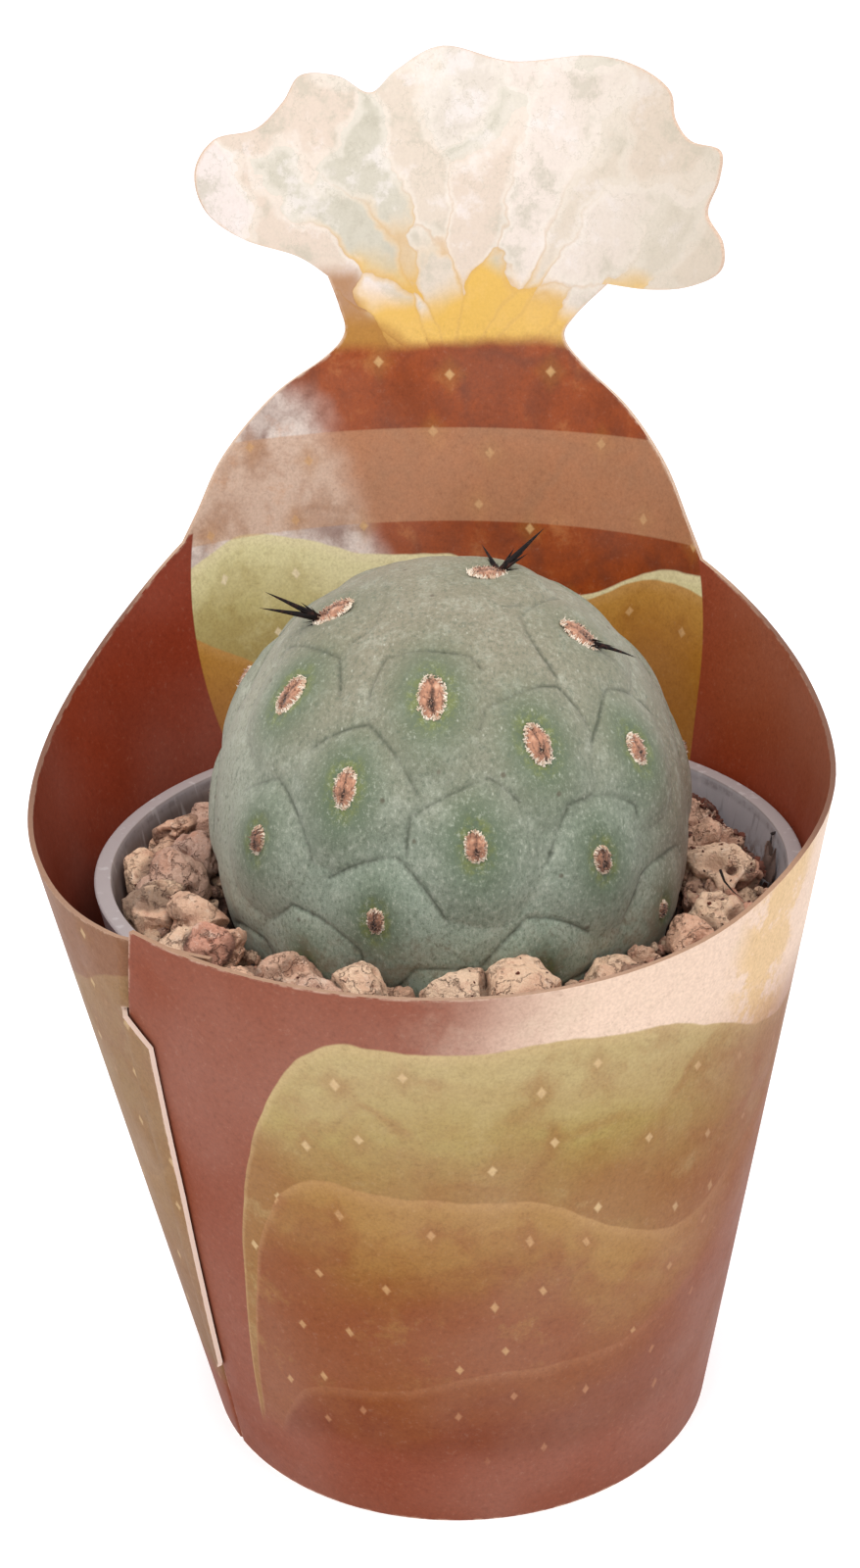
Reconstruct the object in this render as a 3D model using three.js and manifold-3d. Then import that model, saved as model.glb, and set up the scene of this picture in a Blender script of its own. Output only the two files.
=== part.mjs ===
// Potted round cactus in a card sleeve, in millimetres.
// +Z is up, -Y is the front, and the origin is the middle of the pot's underside.
// Pieces: card sleeve, pot, soil, gravel, cactus.

import * as THREE from 'three';
import { mergeVertices } from 'three/addons/utils/BufferGeometryUtils.js';
import Module from 'manifold-3d';

const wasm = await Module();
wasm.setup();

// ---------------------------------------------------------------- driving dimensions

const CLEARANCE = 0.3; // between pieces that touch

// Pot: a 5.5 cm nursery pot, thin walled, with a wider rim band
const POT_HEIGHT = 47.6;
const POT_RIM_RADIUS = 27.4;
const POT_RIM_BAND = 4.2; // height of the rim band
const POT_RIM_LIP = 1.3; // width of the rim seen from above
const POT_WALL = 0.9;
const POT_BASE_RADIUS = 18.8;
const POT_FLOOR = 1.2;
const POT_SIDES = 64;
const POT_BAND_DRAFT = 0.18; // growth of the rim band's radius for each millimetre of height
const DRAIN_HOLES = 8;
const DRAIN_HOLE_RADIUS = 1.8;
const DRAIN_RING_RADIUS = 13.5;

// Sleeve: a sheet of card rolled to a cone that leans to the left, with a die-cut header
const CARD = 0.4; // thickness of the card
const SLEEVE_BASE_RADIUS = 20.84; // outer face
const SLEEVE_FLARE = 0.1836; // growth of the radius for each millimetre of height
const SLEEVE_BASE_CENTRE = [0, 0.4];
const SLEEVE_LEAN = [-0.0288, -0.006]; // shift of the centre for each millimetre of height
const SLEEVE_FIRST_COLUMN = -147.01; // turn of the first crease of the faceted cone
const SLEEVE_COLUMN = 6; // degrees between the creases
const SLEEVE_ROW = 13.01; // millimetres between its level creases
const SLEEVE_HEIGHT = 104.3; // to the top of the header
const LAP_OFFSET = 0.6; // how far a lapped layer stands off the layer between
const LAP_RISE = 1.4; // degrees over which a layer steps in or out
const LAP_LEAD = 0.2; // degrees before the other layer's edge by which it has done so
const LAP_STEPS = 2; // facets across the rise
const SLIT = 0.3; // width of the slits that free the tab
const TAB_TOP = 44.3;
const TAB_BOTTOM = 9.2;
const HALVINGS = 50; // steps that close in on the place of a cut

// Cactus: a globe that leans towards the front, covered with tubercles along a spiral
const BODY_CENTRE = [0.25, 0, 50.4];
const BODY_RADIUS = 18.35; // level half width under the relief
const BODY_HALF_HEIGHT = 20.4;
const BODY_LEAN_FRONT = 0.2; // radians
const BODY_LEAN_LEFT = 0.047;
const BODY_DETAIL = 14; // splits of each side of the starting icosahedron
const SPIRAL_TURN = -137.5; // degrees from one areole to the next
const SPIRAL_START = -8; // degrees from the front, positive to the right
const SPIRAL_OFFSET = 4.75;
const SPIRAL_STEP = 0.031; // share of the half sphere that each areole takes
const YOUNGEST = -2;
const OLDEST = 56;
const TUBERCLE_RADIUS = 5.3;
const TUBERCLE_DROP = 0.8; // how far a tubercle's middle lies below its areole
const TUBERCLE_RISE = 0.45;
const GROOVE_DEPTH = 0.35;
const GROOVE_WIDTH = 0.95;
const BARE_TIP = 4.5; // radius of the smooth tip, which has no tubercles yet
const RELIEF_ROOM = 0.95; // the most that the relief and the areoles stand out, with slack
const AREOLE_LENGTH = 1.85; // half length of the youngest
const AREOLE_SHRINK = 0.028; // loss of half length for each older areole
const AREOLE_WIDTH = 0.52; // share of the half length
const AREOLE_HEIGHT = 0.5;
const SPINE_TAPER = 0.055; // radius at the foot as a share of the length
const SPINE_SUNK = 1.2;
const ROOT_TOP_RADIUS = 5;
const ROOT_TIP_RADIUS = 2.2;
const ROOT_TIP_LEVEL = 19;
const ROOT_TOP_LEVEL = 33;

// How some areoles stray from the spiral: [degrees round the stem, degrees away from the tip]
const AREOLE_STRAY = {
  '-2': [2, 0], '-1': [-3, -12], 0: [5, 1], 1: [-12, 8], 2: [0, -3], 3: [-2, 0], 4: [0, 5], 5: [5, 1],
  6: [-20, 4], 7: [22, 3], 10: [3, 2], 11: [-29, 0], 13: [2, 0], 15: [24, 0], 16: [-4, 1], 18: [0, 1],
  19: [-16, 2], 21: [-2, 0], 23: [29, 0], 24: [-29, 0], 26: [2, 7], 28: [14, 0], 31: [6, -1], 32: [-16, 0],
  36: [16, 0],
};
// The spines that are left: [length, lean to the side, lift out of the skin] by areole
const SPINES = {
  '-2': [[5, -0.25, 1.2], [4.9, 0.15, 1.7]],
  '-1': [[5.4, -0.1, 0.85], [3.8, -5, 1.6]],
  2: [[3.7, 0, 0.45]],
  4: [[3.8, 0.2, 0.8]],
};

// Soil and gravel
const SOIL_TOP = 39.6;
const FILL_SIDES = 36;
const GRAVEL_BED_TOP = 43.2;
const STONE_ROWS = [
  { radius: 21.2, count: 21, level: 45.0, size: 2.55, detail: 1 },
  { radius: 23.7, count: 19, level: 44.8, size: 2.25, detail: 1 },
  { radius: 22.9, count: 9, level: 45.6, size: 1.75, detail: 0 },
];
const STONE_SEED = 20417;
const HEAP_RISE = 0.8; // the stones lie higher towards the front left, and as much lower opposite
const HEAP_TURN = -50;

// ---------------------------------------------------------------- helpers

/** Seeded draws between 0 and 1. */
function seededDraws(seed) {
  let state = seed >>> 0;
  return () => {
    state = (state + 0x6d2b79f5) >>> 0;
    let word = Math.imul(state ^ (state >>> 15), state | 1);
    word ^= word + Math.imul(word ^ (word >>> 7), word | 61);
    return ((word ^ (word >>> 14)) >>> 0) / 4294967296;
  };
}

/** A closed BufferGeometry as a solid. */
function toSolid(geometry) {
  const bare = geometry.clone();
  bare.deleteAttribute('normal');
  bare.deleteAttribute('uv');
  const merged = mergeVertices(bare, 1e-4);
  const vertProperties = new Float32Array(merged.attributes.position.array);
  const triVerts = new Uint32Array(merged.index.array);
  return new wasm.Manifold(new wasm.Mesh({ numProp: 3, vertProperties, triVerts }));
}

/** A solid as a BufferGeometry. */
function toGeometry(solid) {
  const mesh = solid.getMesh();
  const geometry = new THREE.BufferGeometry();
  geometry.setAttribute('position', new THREE.BufferAttribute(mesh.vertProperties, 3));
  geometry.setIndex(new THREE.BufferAttribute(mesh.triVerts, 1));
  return geometry;
}

/** The main body of a solid: loose scraps that a cut leaves are dropped. */
function mainBody(solid) {
  return solid.decompose().sort((one, two) => two.volume() - one.volume())[0];
}

/** A solid of revolution about +Z from [radius, height] points that close on the axis or themselves. */
function turned(points, sides) {
  const profile = points.map(([radius, height]) => new THREE.Vector2(radius, height));
  const geometry = new THREE.LatheGeometry(profile, sides);
  geometry.rotateX(Math.PI / 2);
  return geometry;
}

/** A named mesh with its own plain finish. */
function piece(name, geometry, color, roughness) {
  const material = new THREE.MeshStandardMaterial({ color, roughness, metalness: 0 });
  geometry.computeVertexNormals();
  const mesh = new THREE.Mesh(geometry, material);
  mesh.name = name;
  return mesh;
}

const smoothStep = (value) => THREE.MathUtils.smoothstep(value, 0, 1);

// ---------------------------------------------------------------- pot

/** Inner radius of the pot at a height. */
function potInside(height) {
  const floorRadius = POT_BASE_RADIUS - POT_WALL;
  const rimRadius = POT_RIM_RADIUS - POT_RIM_LIP;
  return THREE.MathUtils.mapLinear(height, POT_FLOOR, POT_HEIGHT, floorRadius, rimRadius);
}

function makePot() {
  const bandFoot = POT_HEIGHT - POT_RIM_BAND;
  const chamfer = 0.5;
  let pot = toSolid(turned([
    [0, 0],
    [POT_BASE_RADIUS - chamfer, 0],
    [POT_BASE_RADIUS, chamfer],
    [potInside(bandFoot) + POT_WALL, bandFoot],
    [POT_RIM_RADIUS - POT_RIM_BAND * POT_BAND_DRAFT, bandFoot],
    [POT_RIM_RADIUS, POT_HEIGHT - chamfer / 2],
    [POT_RIM_RADIUS - chamfer / 2, POT_HEIGHT],
    [potInside(POT_HEIGHT), POT_HEIGHT],
    [potInside(POT_FLOOR), POT_FLOOR],
    [0, POT_FLOOR],
  ], POT_SIDES));
  for (let hole = 0; hole < DRAIN_HOLES; hole += 1) {
    const angle = (hole + 0.5) * (2 * Math.PI / DRAIN_HOLES);
    const drill = new THREE.CylinderGeometry(DRAIN_HOLE_RADIUS, DRAIN_HOLE_RADIUS, 3 * POT_FLOOR, 16);
    drill.rotateX(Math.PI / 2);
    drill.translate(DRAIN_RING_RADIUS * Math.cos(angle), DRAIN_RING_RADIUS * Math.sin(angle), 0);
    pot = pot.subtract(toSolid(drill));
  }
  return toGeometry(pot);
}

// ---------------------------------------------------------------- cactus

/** Turns a direction of the upright plant to the way the plant leans. */
function lean(direction) {
  return direction
    .applyAxisAngle(new THREE.Vector3(1, 0, 0), BODY_LEAN_FRONT)
    .applyAxisAngle(new THREE.Vector3(0, 1, 0), -BODY_LEAN_LEFT);
}

const BODY_RADII = new THREE.Vector3(BODY_RADIUS, BODY_RADIUS, BODY_HALF_HEIGHT);
const BODY_MIDDLE = new THREE.Vector3(...BODY_CENTRE);
const MEAN_RADIUS = (BODY_RADIUS + BODY_HALF_HEIGHT) / 2;
const TIP = lean(new THREE.Vector3(0, 0, 1));

/** Direction at a turn from the front and a fall from the tip, both in degrees. */
function direction(turn, fall) {
  const around = THREE.MathUtils.degToRad(turn);
  const down = THREE.MathUtils.degToRad(fall);
  return lean(new THREE.Vector3(
    Math.sin(down) * Math.sin(around),
    -Math.sin(down) * Math.cos(around),
    Math.cos(down),
  ));
}

/** The areoles along the spiral, youngest first. */
function layAreoles() {
  const areoles = [];
  for (let order = YOUNGEST; order <= OLDEST; order += 1) {
    const [stray, drop] = AREOLE_STRAY[order] ?? [0, 0];
    const turn = SPIRAL_START + SPIRAL_TURN * order + stray;
    const cosine = 1 - (order + SPIRAL_OFFSET) * SPIRAL_STEP;
    const fall = THREE.MathUtils.radToDeg(Math.acos(cosine)) + drop;
    const dropAngle = THREE.MathUtils.radToDeg(TUBERCLE_DROP / MEAN_RADIUS);
    areoles.push({ order, at: direction(turn, fall), middle: direction(turn, fall + dropAngle) });
  }
  return areoles;
}

const AREOLES = layAreoles();

/** How far the skin stands out from the plain globe in a direction. */
function relief(outward) {
  let owner = null;
  let groove = Infinity;
  let nearest = Infinity;
  for (const areole of AREOLES) {
    const distance = outward.angleTo(areole.middle) * MEAN_RADIUS;
    nearest = Math.min(nearest, distance);
    if (distance < TUBERCLE_RADIUS) {
      owner = areole; // an older tubercle lies over a younger one
      groove = TUBERCLE_RADIUS - distance;
    } else {
      groove = Math.min(groove, distance - TUBERCLE_RADIUS);
    }
  }
  const crown = outward.angleTo(TIP) * MEAN_RADIUS;
  const grown = smoothStep((crown - BARE_TIP) / BARE_TIP);
  const swell = owner ? TUBERCLE_RISE * (1 - (nearest / TUBERCLE_RADIUS) ** 2) : 0;
  const cut = GROOVE_DEPTH * Math.exp(-((groove / GROOVE_WIDTH) ** 2));
  return grown * (swell - cut);
}

/** The point of the skin in a direction; the part under the gravel is plain. */
function skin(outward) {
  const plain = BODY_MIDDLE.clone().add(outward.clone().multiply(BODY_RADII));
  const bare = smoothStep((plain.z - SOIL_TOP - 1) / 2);
  return plain.add(outward.clone().multiplyScalar(relief(outward) * bare));
}

/** Plain half width of the globe at a height. */
function bodyRadius(height) {
  const rise = (height - BODY_CENTRE[2]) / BODY_HALF_HEIGHT;
  return BODY_RADIUS * Math.sqrt(Math.max(0, 1 - rise * rise));
}

function makeGlobe() {
  const globe = new THREE.IcosahedronGeometry(1, BODY_DETAIL);
  const places = globe.attributes.position;
  const outward = new THREE.Vector3();
  for (let index = 0; index < places.count; index += 1) {
    outward.fromBufferAttribute(places, index).normalize();
    const place = skin(outward);
    places.setXYZ(index, place.x, place.y, place.z);
  }
  return toSolid(globe);
}

/** Axes at an areole: out of the skin, away from the tip, and sideways. */
function areoleAxes(areole) {
  const out = areole.at.clone().divide(BODY_RADII).normalize();
  const side = new THREE.Vector3().crossVectors(TIP, out).normalize();
  const down = new THREE.Vector3().crossVectors(out, side).negate().normalize();
  return { out, down, side: new THREE.Vector3().crossVectors(down, out) };
}

function areoleHalfLength(areole) {
  return AREOLE_LENGTH - AREOLE_SHRINK * (areole.order - YOUNGEST);
}

/** The woolly pad of one areole, an oval lens that stands in the skin. */
function makePad(areole) {
  const { out, down, side } = areoleAxes(areole);
  const half = areoleHalfLength(areole);
  const pad = new THREE.SphereGeometry(1, 6, 3);
  const stretch = new THREE.Matrix4().makeBasis(
    side.multiplyScalar(half * AREOLE_WIDTH),
    down.multiplyScalar(half),
    out.multiplyScalar(AREOLE_HEIGHT),
  );
  pad.applyMatrix4(stretch.setPosition(skin(areole.at)));
  return toSolid(pad);
}

/** One spine, from the outer end of its areole. */
function makeSpine(areole, [length, aside, lift]) {
  const { out, down, side } = areoleAxes(areole);
  const along = down.clone().addScaledVector(out, lift).addScaledVector(side, aside).normalize();
  const foot = skin(areole.at).addScaledVector(down, areoleHalfLength(areole) * 0.55);
  const spine = new THREE.ConeGeometry(length * SPINE_TAPER, length + SPINE_SUNK, 5);
  spine.translate(0, (length - SPINE_SUNK) / 2, 0);
  spine.applyQuaternion(new THREE.Quaternion().setFromUnitVectors(new THREE.Vector3(0, 1, 0), along));
  spine.translate(foot.x, foot.y, foot.z);
  return toSolid(spine);
}

/** Profile of the buried neck of the root, grown by a gap. */
function rootProfile(gap) {
  return [
    [0, ROOT_TIP_LEVEL - gap],
    [ROOT_TIP_RADIUS + gap, ROOT_TIP_LEVEL - gap],
    [ROOT_TOP_RADIUS + gap, ROOT_TOP_LEVEL],
    [0, ROOT_TOP_LEVEL],
  ];
}

function makeCactus() {
  const root = turned(rootProfile(0), 12);
  root.translate(BODY_CENTRE[0], BODY_CENTRE[1], 0);
  let cactus = makeGlobe().add(toSolid(root));
  for (const areole of AREOLES) {
    if (skin(areole.at).z > POT_HEIGHT - 1) {
      cactus = cactus.add(makePad(areole));
      for (const spine of SPINES[areole.order] ?? []) {
        cactus = cactus.add(makeSpine(areole, spine));
      }
    }
  }
  return toGeometry(cactus);
}

// ---------------------------------------------------------------- soil and gravel

/** Plain globe grown by a gap, as a solid that the soil and the gravel keep clear of. */
function globeRoom(gap) {
  const room = new THREE.SphereGeometry(1, 28, 18);
  room.scale(BODY_RADIUS + gap, BODY_RADIUS + gap, BODY_HALF_HEIGHT + gap);
  room.rotateX(Math.PI / 2);
  const swap = (BODY_RADIUS + gap) / (BODY_HALF_HEIGHT + gap);
  room.scale(1, swap, 1 / swap);
  room.translate(...BODY_CENTRE);
  return toSolid(room);
}

function makeSoil() {
  const bottom = POT_FLOOR + CLEARANCE;
  const fill = toSolid(turned([
    [0, bottom],
    [potInside(bottom) - CLEARANCE, bottom],
    [potInside(SOIL_TOP) - CLEARANCE, SOIL_TOP],
    [0, SOIL_TOP],
  ], FILL_SIDES));
  const hole = turned(rootProfile(CLEARANCE), 16);
  hole.translate(BODY_CENTRE[0], BODY_CENTRE[1], 0);
  return toGeometry(fill.subtract(globeRoom(CLEARANCE + 0.1)).subtract(toSolid(hole)));
}

/** One stone: an uneven lump with its own lie, shape and place. */
function makeStone(row, index, draw) {
  const turn = ((index + 0.6 * (draw() - 0.5)) / row.count) * 2 * Math.PI;
  const radius = row.radius + 1.1 * (draw() - 0.5);
  const heap = HEAP_RISE * Math.cos(turn - THREE.MathUtils.degToRad(HEAP_TURN));
  const level = row.level + heap + 1.3 * (draw() - 0.5);
  const size = row.size * (0.78 + 0.44 * draw());
  const stretch = new THREE.Vector3(0.85 + 0.4 * draw(), 0.8 + 0.35 * draw(), 0.65 + 0.3 * draw());
  const lie = new THREE.Euler(0.9 * (draw() - 0.5), 0.9 * (draw() - 0.5), 2 * Math.PI * draw());
  const lumps = [0, 1, 2].map(() => ({
    toward: new THREE.Vector3(draw() - 0.5, draw() - 0.5, draw() - 0.5).normalize(),
    phase: 2 * Math.PI * draw(),
  }));
  const stone = new THREE.IcosahedronGeometry(1, row.detail);
  const places = stone.attributes.position;
  const outward = new THREE.Vector3();
  for (let vertex = 0; vertex < places.count; vertex += 1) {
    outward.fromBufferAttribute(places, vertex).normalize();
    let swell = 1;
    lumps.forEach(({ toward, phase }, wave) => {
      swell += 0.11 * Math.sin((2 + 1.4 * wave) * outward.dot(toward) + phase);
    });
    const place = outward.clone().multiply(stretch).multiplyScalar(size * swell).applyEuler(lie);
    places.setXYZ(vertex, place.x, place.y, place.z);
  }
  stone.translate(radius * Math.sin(turn), -radius * Math.cos(turn), level);
  return toSolid(stone);
}

function makeGravel() {
  const draw = seededDraws(STONE_SEED);
  const bottom = SOIL_TOP + CLEARANCE;
  const top = POT_HEIGHT + 4;
  let gravel = toSolid(turned([
    [0, bottom],
    [potInside(bottom) - CLEARANCE, bottom],
    [potInside(GRAVEL_BED_TOP) - CLEARANCE, GRAVEL_BED_TOP],
    [0, GRAVEL_BED_TOP],
  ], FILL_SIDES));
  for (const row of STONE_ROWS) {
    for (let index = 0; index < row.count; index += 1) {
      gravel = gravel.add(makeStone(row, index, draw));
    }
  }
  const insidePot = toSolid(turned([
    [0, bottom],
    [potInside(bottom) - CLEARANCE, bottom],
    [potInside(top) - CLEARANCE, top],
    [0, top],
  ], FILL_SIDES));
  const ring = gravel.intersect(insidePot).subtract(globeRoom(RELIEF_ROOM + CLEARANCE));
  return toGeometry(mainBody(ring));
}

// ---------------------------------------------------------------- sleeve

// The card is drawn flat as [turn, height]: the turn is in degrees from the middle of the back,
// positive to the right. It runs from the left panel's end, under the front panel, round the back
// and the right side to the front panel's left edge.
const FRONT_EDGE = [[239, 0], [235.4, 10], [228, TAB_TOP], [221.8, 52.4]];
const FRONT_TOP = [
  [221.8, 52.4], [200, 51.2], [170, 50.4], [142, 51.2], [118, 53.8], [90, 56.1], [70, 59.3], [47, 64],
];
const HEADER_RIGHT = [
  [47, 64], [43.4, 67], [38.7, 71.2], [32, 75.4], [25.4, 78.4], [22, 80.7], [23.4, 82.6], [28, 85.4],
];
const CROWN = [
  [28, 85.4], [34, 85.2], [40, 85.7], [44.6, 87.2], [44.6, 89.4], [41.8, 91.6], [43, 94.2], [42.8, 96.5],
  [38.4, 97.1], [36, 98.7], [34.8, 101], [30, 102.8], [24, 103.5], [14.4, 103], [6, 104.3], [0.3, 102.5],
  [-3.2, 100.7], [-7, 102.1], [-11.6, 102.3], [-14.2, 100.2], [-18, 98.2], [-23.4, 97.6], [-26.6, 95.2],
  [-26, 92], [-21.6, 89.5], [-14.6, 87.8], [-10.6, 86],
];
const HEADER_LEFT = [
  [-10.6, 86], [-9.4, 83.4], [-9, 81.2], [-12, 79.3], [-20, 76.5], [-28.9, 72], [-34.4, 67.9], [-38, 65.5],
];
const LEFT_TOP = [
  [-38, 65.5], [-52, 61], [-68, 56.9], [-86, 53.7], [-104, 52], [-121, 51.1], [-138, 51.4], [-150.5, 51.8],
];
const UPPER_STRIP_END = [[-150.5, 51.8], [-146, TAB_TOP + SLIT], [-130.3, TAB_TOP + SLIT]];
const TAB_EDGE = [
  [-130.3, TAB_TOP], [-132.2, TAB_TOP], [-136.4, 42.4], [-132.6, 28], [-129.3, 18.6], [-126, 9.9],
  [-124.8, TAB_BOTTOM], [-122.6, TAB_BOTTOM],
];
const LOWER_STRIP_END = [[-122.6, TAB_BOTTOM - SLIT], [-139, TAB_BOTTOM - SLIT], [-135, 0]];

/** Points along a smooth curve through the given ones, without the last. */
function smooth(points, steps) {
  const curve = new THREE.SplineCurve(points.map(([turn, height]) => new THREE.Vector2(turn, height)));
  return curve.getPoints(steps * (points.length - 1)).slice(0, -1);
}

/** The corners of straight cuts. */
function straight(points) {
  return points.map(([turn, height]) => new THREE.Vector2(turn, height));
}

/** The whole cut edge of the card, anticlockwise seen with the turn to the right and height up. */
function cardOutline() {
  return [
    ...straight(FRONT_EDGE.slice(0, -1)),
    ...smooth(FRONT_TOP, 3),
    ...smooth(HEADER_RIGHT, 3),
    ...smooth(CROWN, 3),
    ...smooth(HEADER_LEFT, 3),
    ...smooth(LEFT_TOP, 3),
    ...straight(UPPER_STRIP_END),
    ...straight(TAB_EDGE),
    ...straight(LOWER_STRIP_END),
  ];
}

/** The place between two points where a measure of them passes zero. */
function zeroBetween(from, to, measure) {
  const [near, far] = [from.clone(), to.clone()];
  for (let step = 0; step < HALVINGS; step += 1) {
    const middle = near.clone().lerp(far, 0.5);
    if (measure(middle) * measure(near) > 0) near.copy(middle);
    else far.copy(middle);
  }
  return near;
}

/** Cuts a flat outline where a measure passes zero; along names the coordinate that runs with the cut. */
function cutOutline(outline, measure, along) {
  const walk = [];
  outline.forEach((point, index) => {
    const next = outline[(index + 1) % outline.length];
    walk.push(point);
    if (measure(point) * measure(next) < 0) {
      const crossing = zeroBetween(point, next, measure);
      crossing.crossed = true;
      walk.push(crossing);
    }
  });
  const start = walk.findIndex((point) => point.crossed);
  if (start < 0) return [outline];
  const chains = [];
  for (let step = 0; step < walk.length; step += 1) {
    const point = walk[(start + step) % walk.length];
    if (point.crossed) {
      if (chains.length) chains[chains.length - 1].push(point.clone());
      chains.push([point.clone()]);
    } else {
      chains[chains.length - 1].push(point);
    }
  }
  chains[chains.length - 1].push(walk[start].clone());
  const pieces = [];
  for (const side of [-1, 1]) {
    const own = chains.filter((chain) => side * measure(chain[1]) > 0);
    const ends = own.flatMap((chain) => [
      { chain, place: chain[0][along], first: true },
      { chain, place: chain[chain.length - 1][along], first: false },
    ]).sort((one, two) => one.place - two.place);
    const followedBy = new Map();
    for (let pair = 0; pair < ends.length; pair += 2) {
      const [one, two] = [ends[pair], ends[pair + 1]];
      const [from, to] = one.first ? [two, one] : [one, two];
      followedBy.set(from.chain, to.chain);
    }
    const open = new Set(own);
    for (const chain of own) {
      const loop = [];
      let current = chain;
      while (open.has(current)) {
        open.delete(current);
        loop.push(...current);
        current = followedBy.get(current);
      }
      if (loop.length) pieces.push(loop);
    }
  }
  return pieces;
}

/** Turn of the front panel's left edge at a height. */
function frontEdgeTurn(height) {
  const stretch = Math.max(FRONT_EDGE.findLastIndex(([, level]) => level < height), 0);
  const [low, high] = FRONT_EDGE.slice(Math.min(stretch, FRONT_EDGE.length - 2));
  return THREE.MathUtils.mapLinear(height, low[1], high[1], low[0], high[0]);
}

/** Degrees by which a point of the left panel lies beyond the front panel's left edge. */
function pastFrontEdge(turn, height) {
  return frontEdgeTurn(height) - 360 - turn;
}

/** How far a point of the card stands off the plain cone: the tab outwards, the strips inwards. */
function lapOffset(turn, height) {
  const past = pastFrontEdge(turn, height);
  const share = turn < 0 ? smoothStep((past + LAP_RISE + LAP_LEAD) / LAP_RISE) : 0;
  const inTab = height > TAB_BOTTOM - SLIT / 2 && height < TAB_TOP + SLIT / 2;
  return (inTab ? 1 : -1) * share * LAP_OFFSET;
}

/** A point of the card in the round; depth is 0 at the outer face and CARD at the inner one. */
function cardPoint(turn, height, depth) {
  const radius = SLEEVE_BASE_RADIUS + SLEEVE_FLARE * height + lapOffset(turn, height) - depth;
  const angle = THREE.MathUtils.degToRad(turn);
  return [
    SLEEVE_BASE_CENTRE[0] + SLEEVE_LEAN[0] * height + radius * Math.sin(angle),
    SLEEVE_BASE_CENTRE[1] + SLEEVE_LEAN[1] * height + radius * Math.cos(angle),
    height,
  ];
}

function makeSleeve() {
  let panels = [cardOutline()];
  const cuts = [];
  for (let turn = SLEEVE_FIRST_COLUMN; turn < FRONT_EDGE[0][0]; turn += SLEEVE_COLUMN) {
    cuts.push([(point) => point.x - turn, 'y']);
  }
  for (let height = SLEEVE_ROW; height < SLEEVE_HEIGHT; height += SLEEVE_ROW) {
    cuts.push([(point) => point.y - height, 'x']);
  }
  for (let step = 0; step <= LAP_STEPS; step += 1) {
    const before = LAP_LEAD + (LAP_RISE * step) / LAP_STEPS;
    cuts.push([(point) => pastFrontEdge(point.x, point.y) + before, 'y']);
  }
  for (const [measure, along] of cuts) {
    panels = panels.flatMap((panel) => cutOutline(panel, measure, along));
  }
  const places = [];
  const edges = new Map();
  const key = (point) => `${point.x.toFixed(5)},${point.y.toFixed(5)}`;
  for (const panel of panels) {
    for (const [a, b, c] of THREE.ShapeUtils.triangulateShape(panel, [])) {
      const [one, two, three] = [panel[a], panel[b], panel[c]];
      for (const point of [one, three, two]) places.push(...cardPoint(point.x, point.y, 0));
      for (const point of [one, two, three]) places.push(...cardPoint(point.x, point.y, CARD));
    }
    panel.forEach((point, index) => {
      const next = panel[(index + 1) % panel.length];
      const back = `${key(next)} ${key(point)}`;
      if (edges.has(back)) edges.delete(back);
      else edges.set(`${key(point)} ${key(next)}`, [point, next]);
    });
  }
  for (const [from, to] of edges.values()) {
    const [outerA, outerB] = [cardPoint(from.x, from.y, 0), cardPoint(to.x, to.y, 0)];
    const [innerA, innerB] = [cardPoint(from.x, from.y, CARD), cardPoint(to.x, to.y, CARD)];
    places.push(...outerA, ...outerB, ...innerA, ...innerA, ...outerB, ...innerB);
  }
  const geometry = new THREE.BufferGeometry();
  geometry.setAttribute('position', new THREE.BufferAttribute(new Float32Array(places), 3));
  return mergeVertices(geometry, 1e-4);
}

// ---------------------------------------------------------------- the whole object

const pottedCactus = new THREE.Group();
pottedCactus.name = 'potted_cactus';
pottedCactus.add(
  piece('card_sleeve', makeSleeve(), 0x96584a, 0.6),
  piece('pot', makePot(), 0xa9a6ad, 0.5),
  piece('soil', makeSoil(), 0x3a2a22, 0.95),
  piece('gravel', makeGravel(), 0xc9ab93, 0.95),
  piece('cactus', makeCactus(), 0x7d9483, 0.7),
);

export default pottedCactus;
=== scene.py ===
"""Looks of a potted round cactus in a card sleeve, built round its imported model.

Sizes are in millimetres, and turn to metres when a mesh is made. +Z is up and -Y is the front.
"""

import logging
import math
from collections.abc import Callable, Sequence
from dataclasses import dataclass
from enum import Enum

import bpy
import numpy as np
from mathutils import Matrix, Vector, noise
from mathutils.bvhtree import BVHTree
from mathutils.geometry import delaunay_2d_cdt


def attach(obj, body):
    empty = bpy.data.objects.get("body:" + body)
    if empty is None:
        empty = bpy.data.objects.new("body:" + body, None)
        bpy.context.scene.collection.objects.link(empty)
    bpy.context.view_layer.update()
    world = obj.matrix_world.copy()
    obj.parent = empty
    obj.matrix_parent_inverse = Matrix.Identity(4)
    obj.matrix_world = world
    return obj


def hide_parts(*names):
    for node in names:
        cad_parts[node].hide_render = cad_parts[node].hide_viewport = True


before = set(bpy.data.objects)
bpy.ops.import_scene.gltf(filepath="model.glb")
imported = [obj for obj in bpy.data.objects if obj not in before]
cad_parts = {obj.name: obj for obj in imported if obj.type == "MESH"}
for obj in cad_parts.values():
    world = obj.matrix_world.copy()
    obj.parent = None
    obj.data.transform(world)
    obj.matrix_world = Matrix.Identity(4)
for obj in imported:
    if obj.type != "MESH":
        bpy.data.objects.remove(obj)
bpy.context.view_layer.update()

MM = 0.001  # metres in a millimetre
FLAT_SCALE = 0.49  # millimetres a degree on the flat card
MAP_SPAN = (360, 100)  # degrees and millimetres of card in one unit of its map
NET_ROUNDING = 1e-7  # distance under which two points of a flat net are one
LOG = logging.getLogger("potted_cactus")

Colour = tuple[float, float, float, float]
Array = np.ndarray


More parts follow.
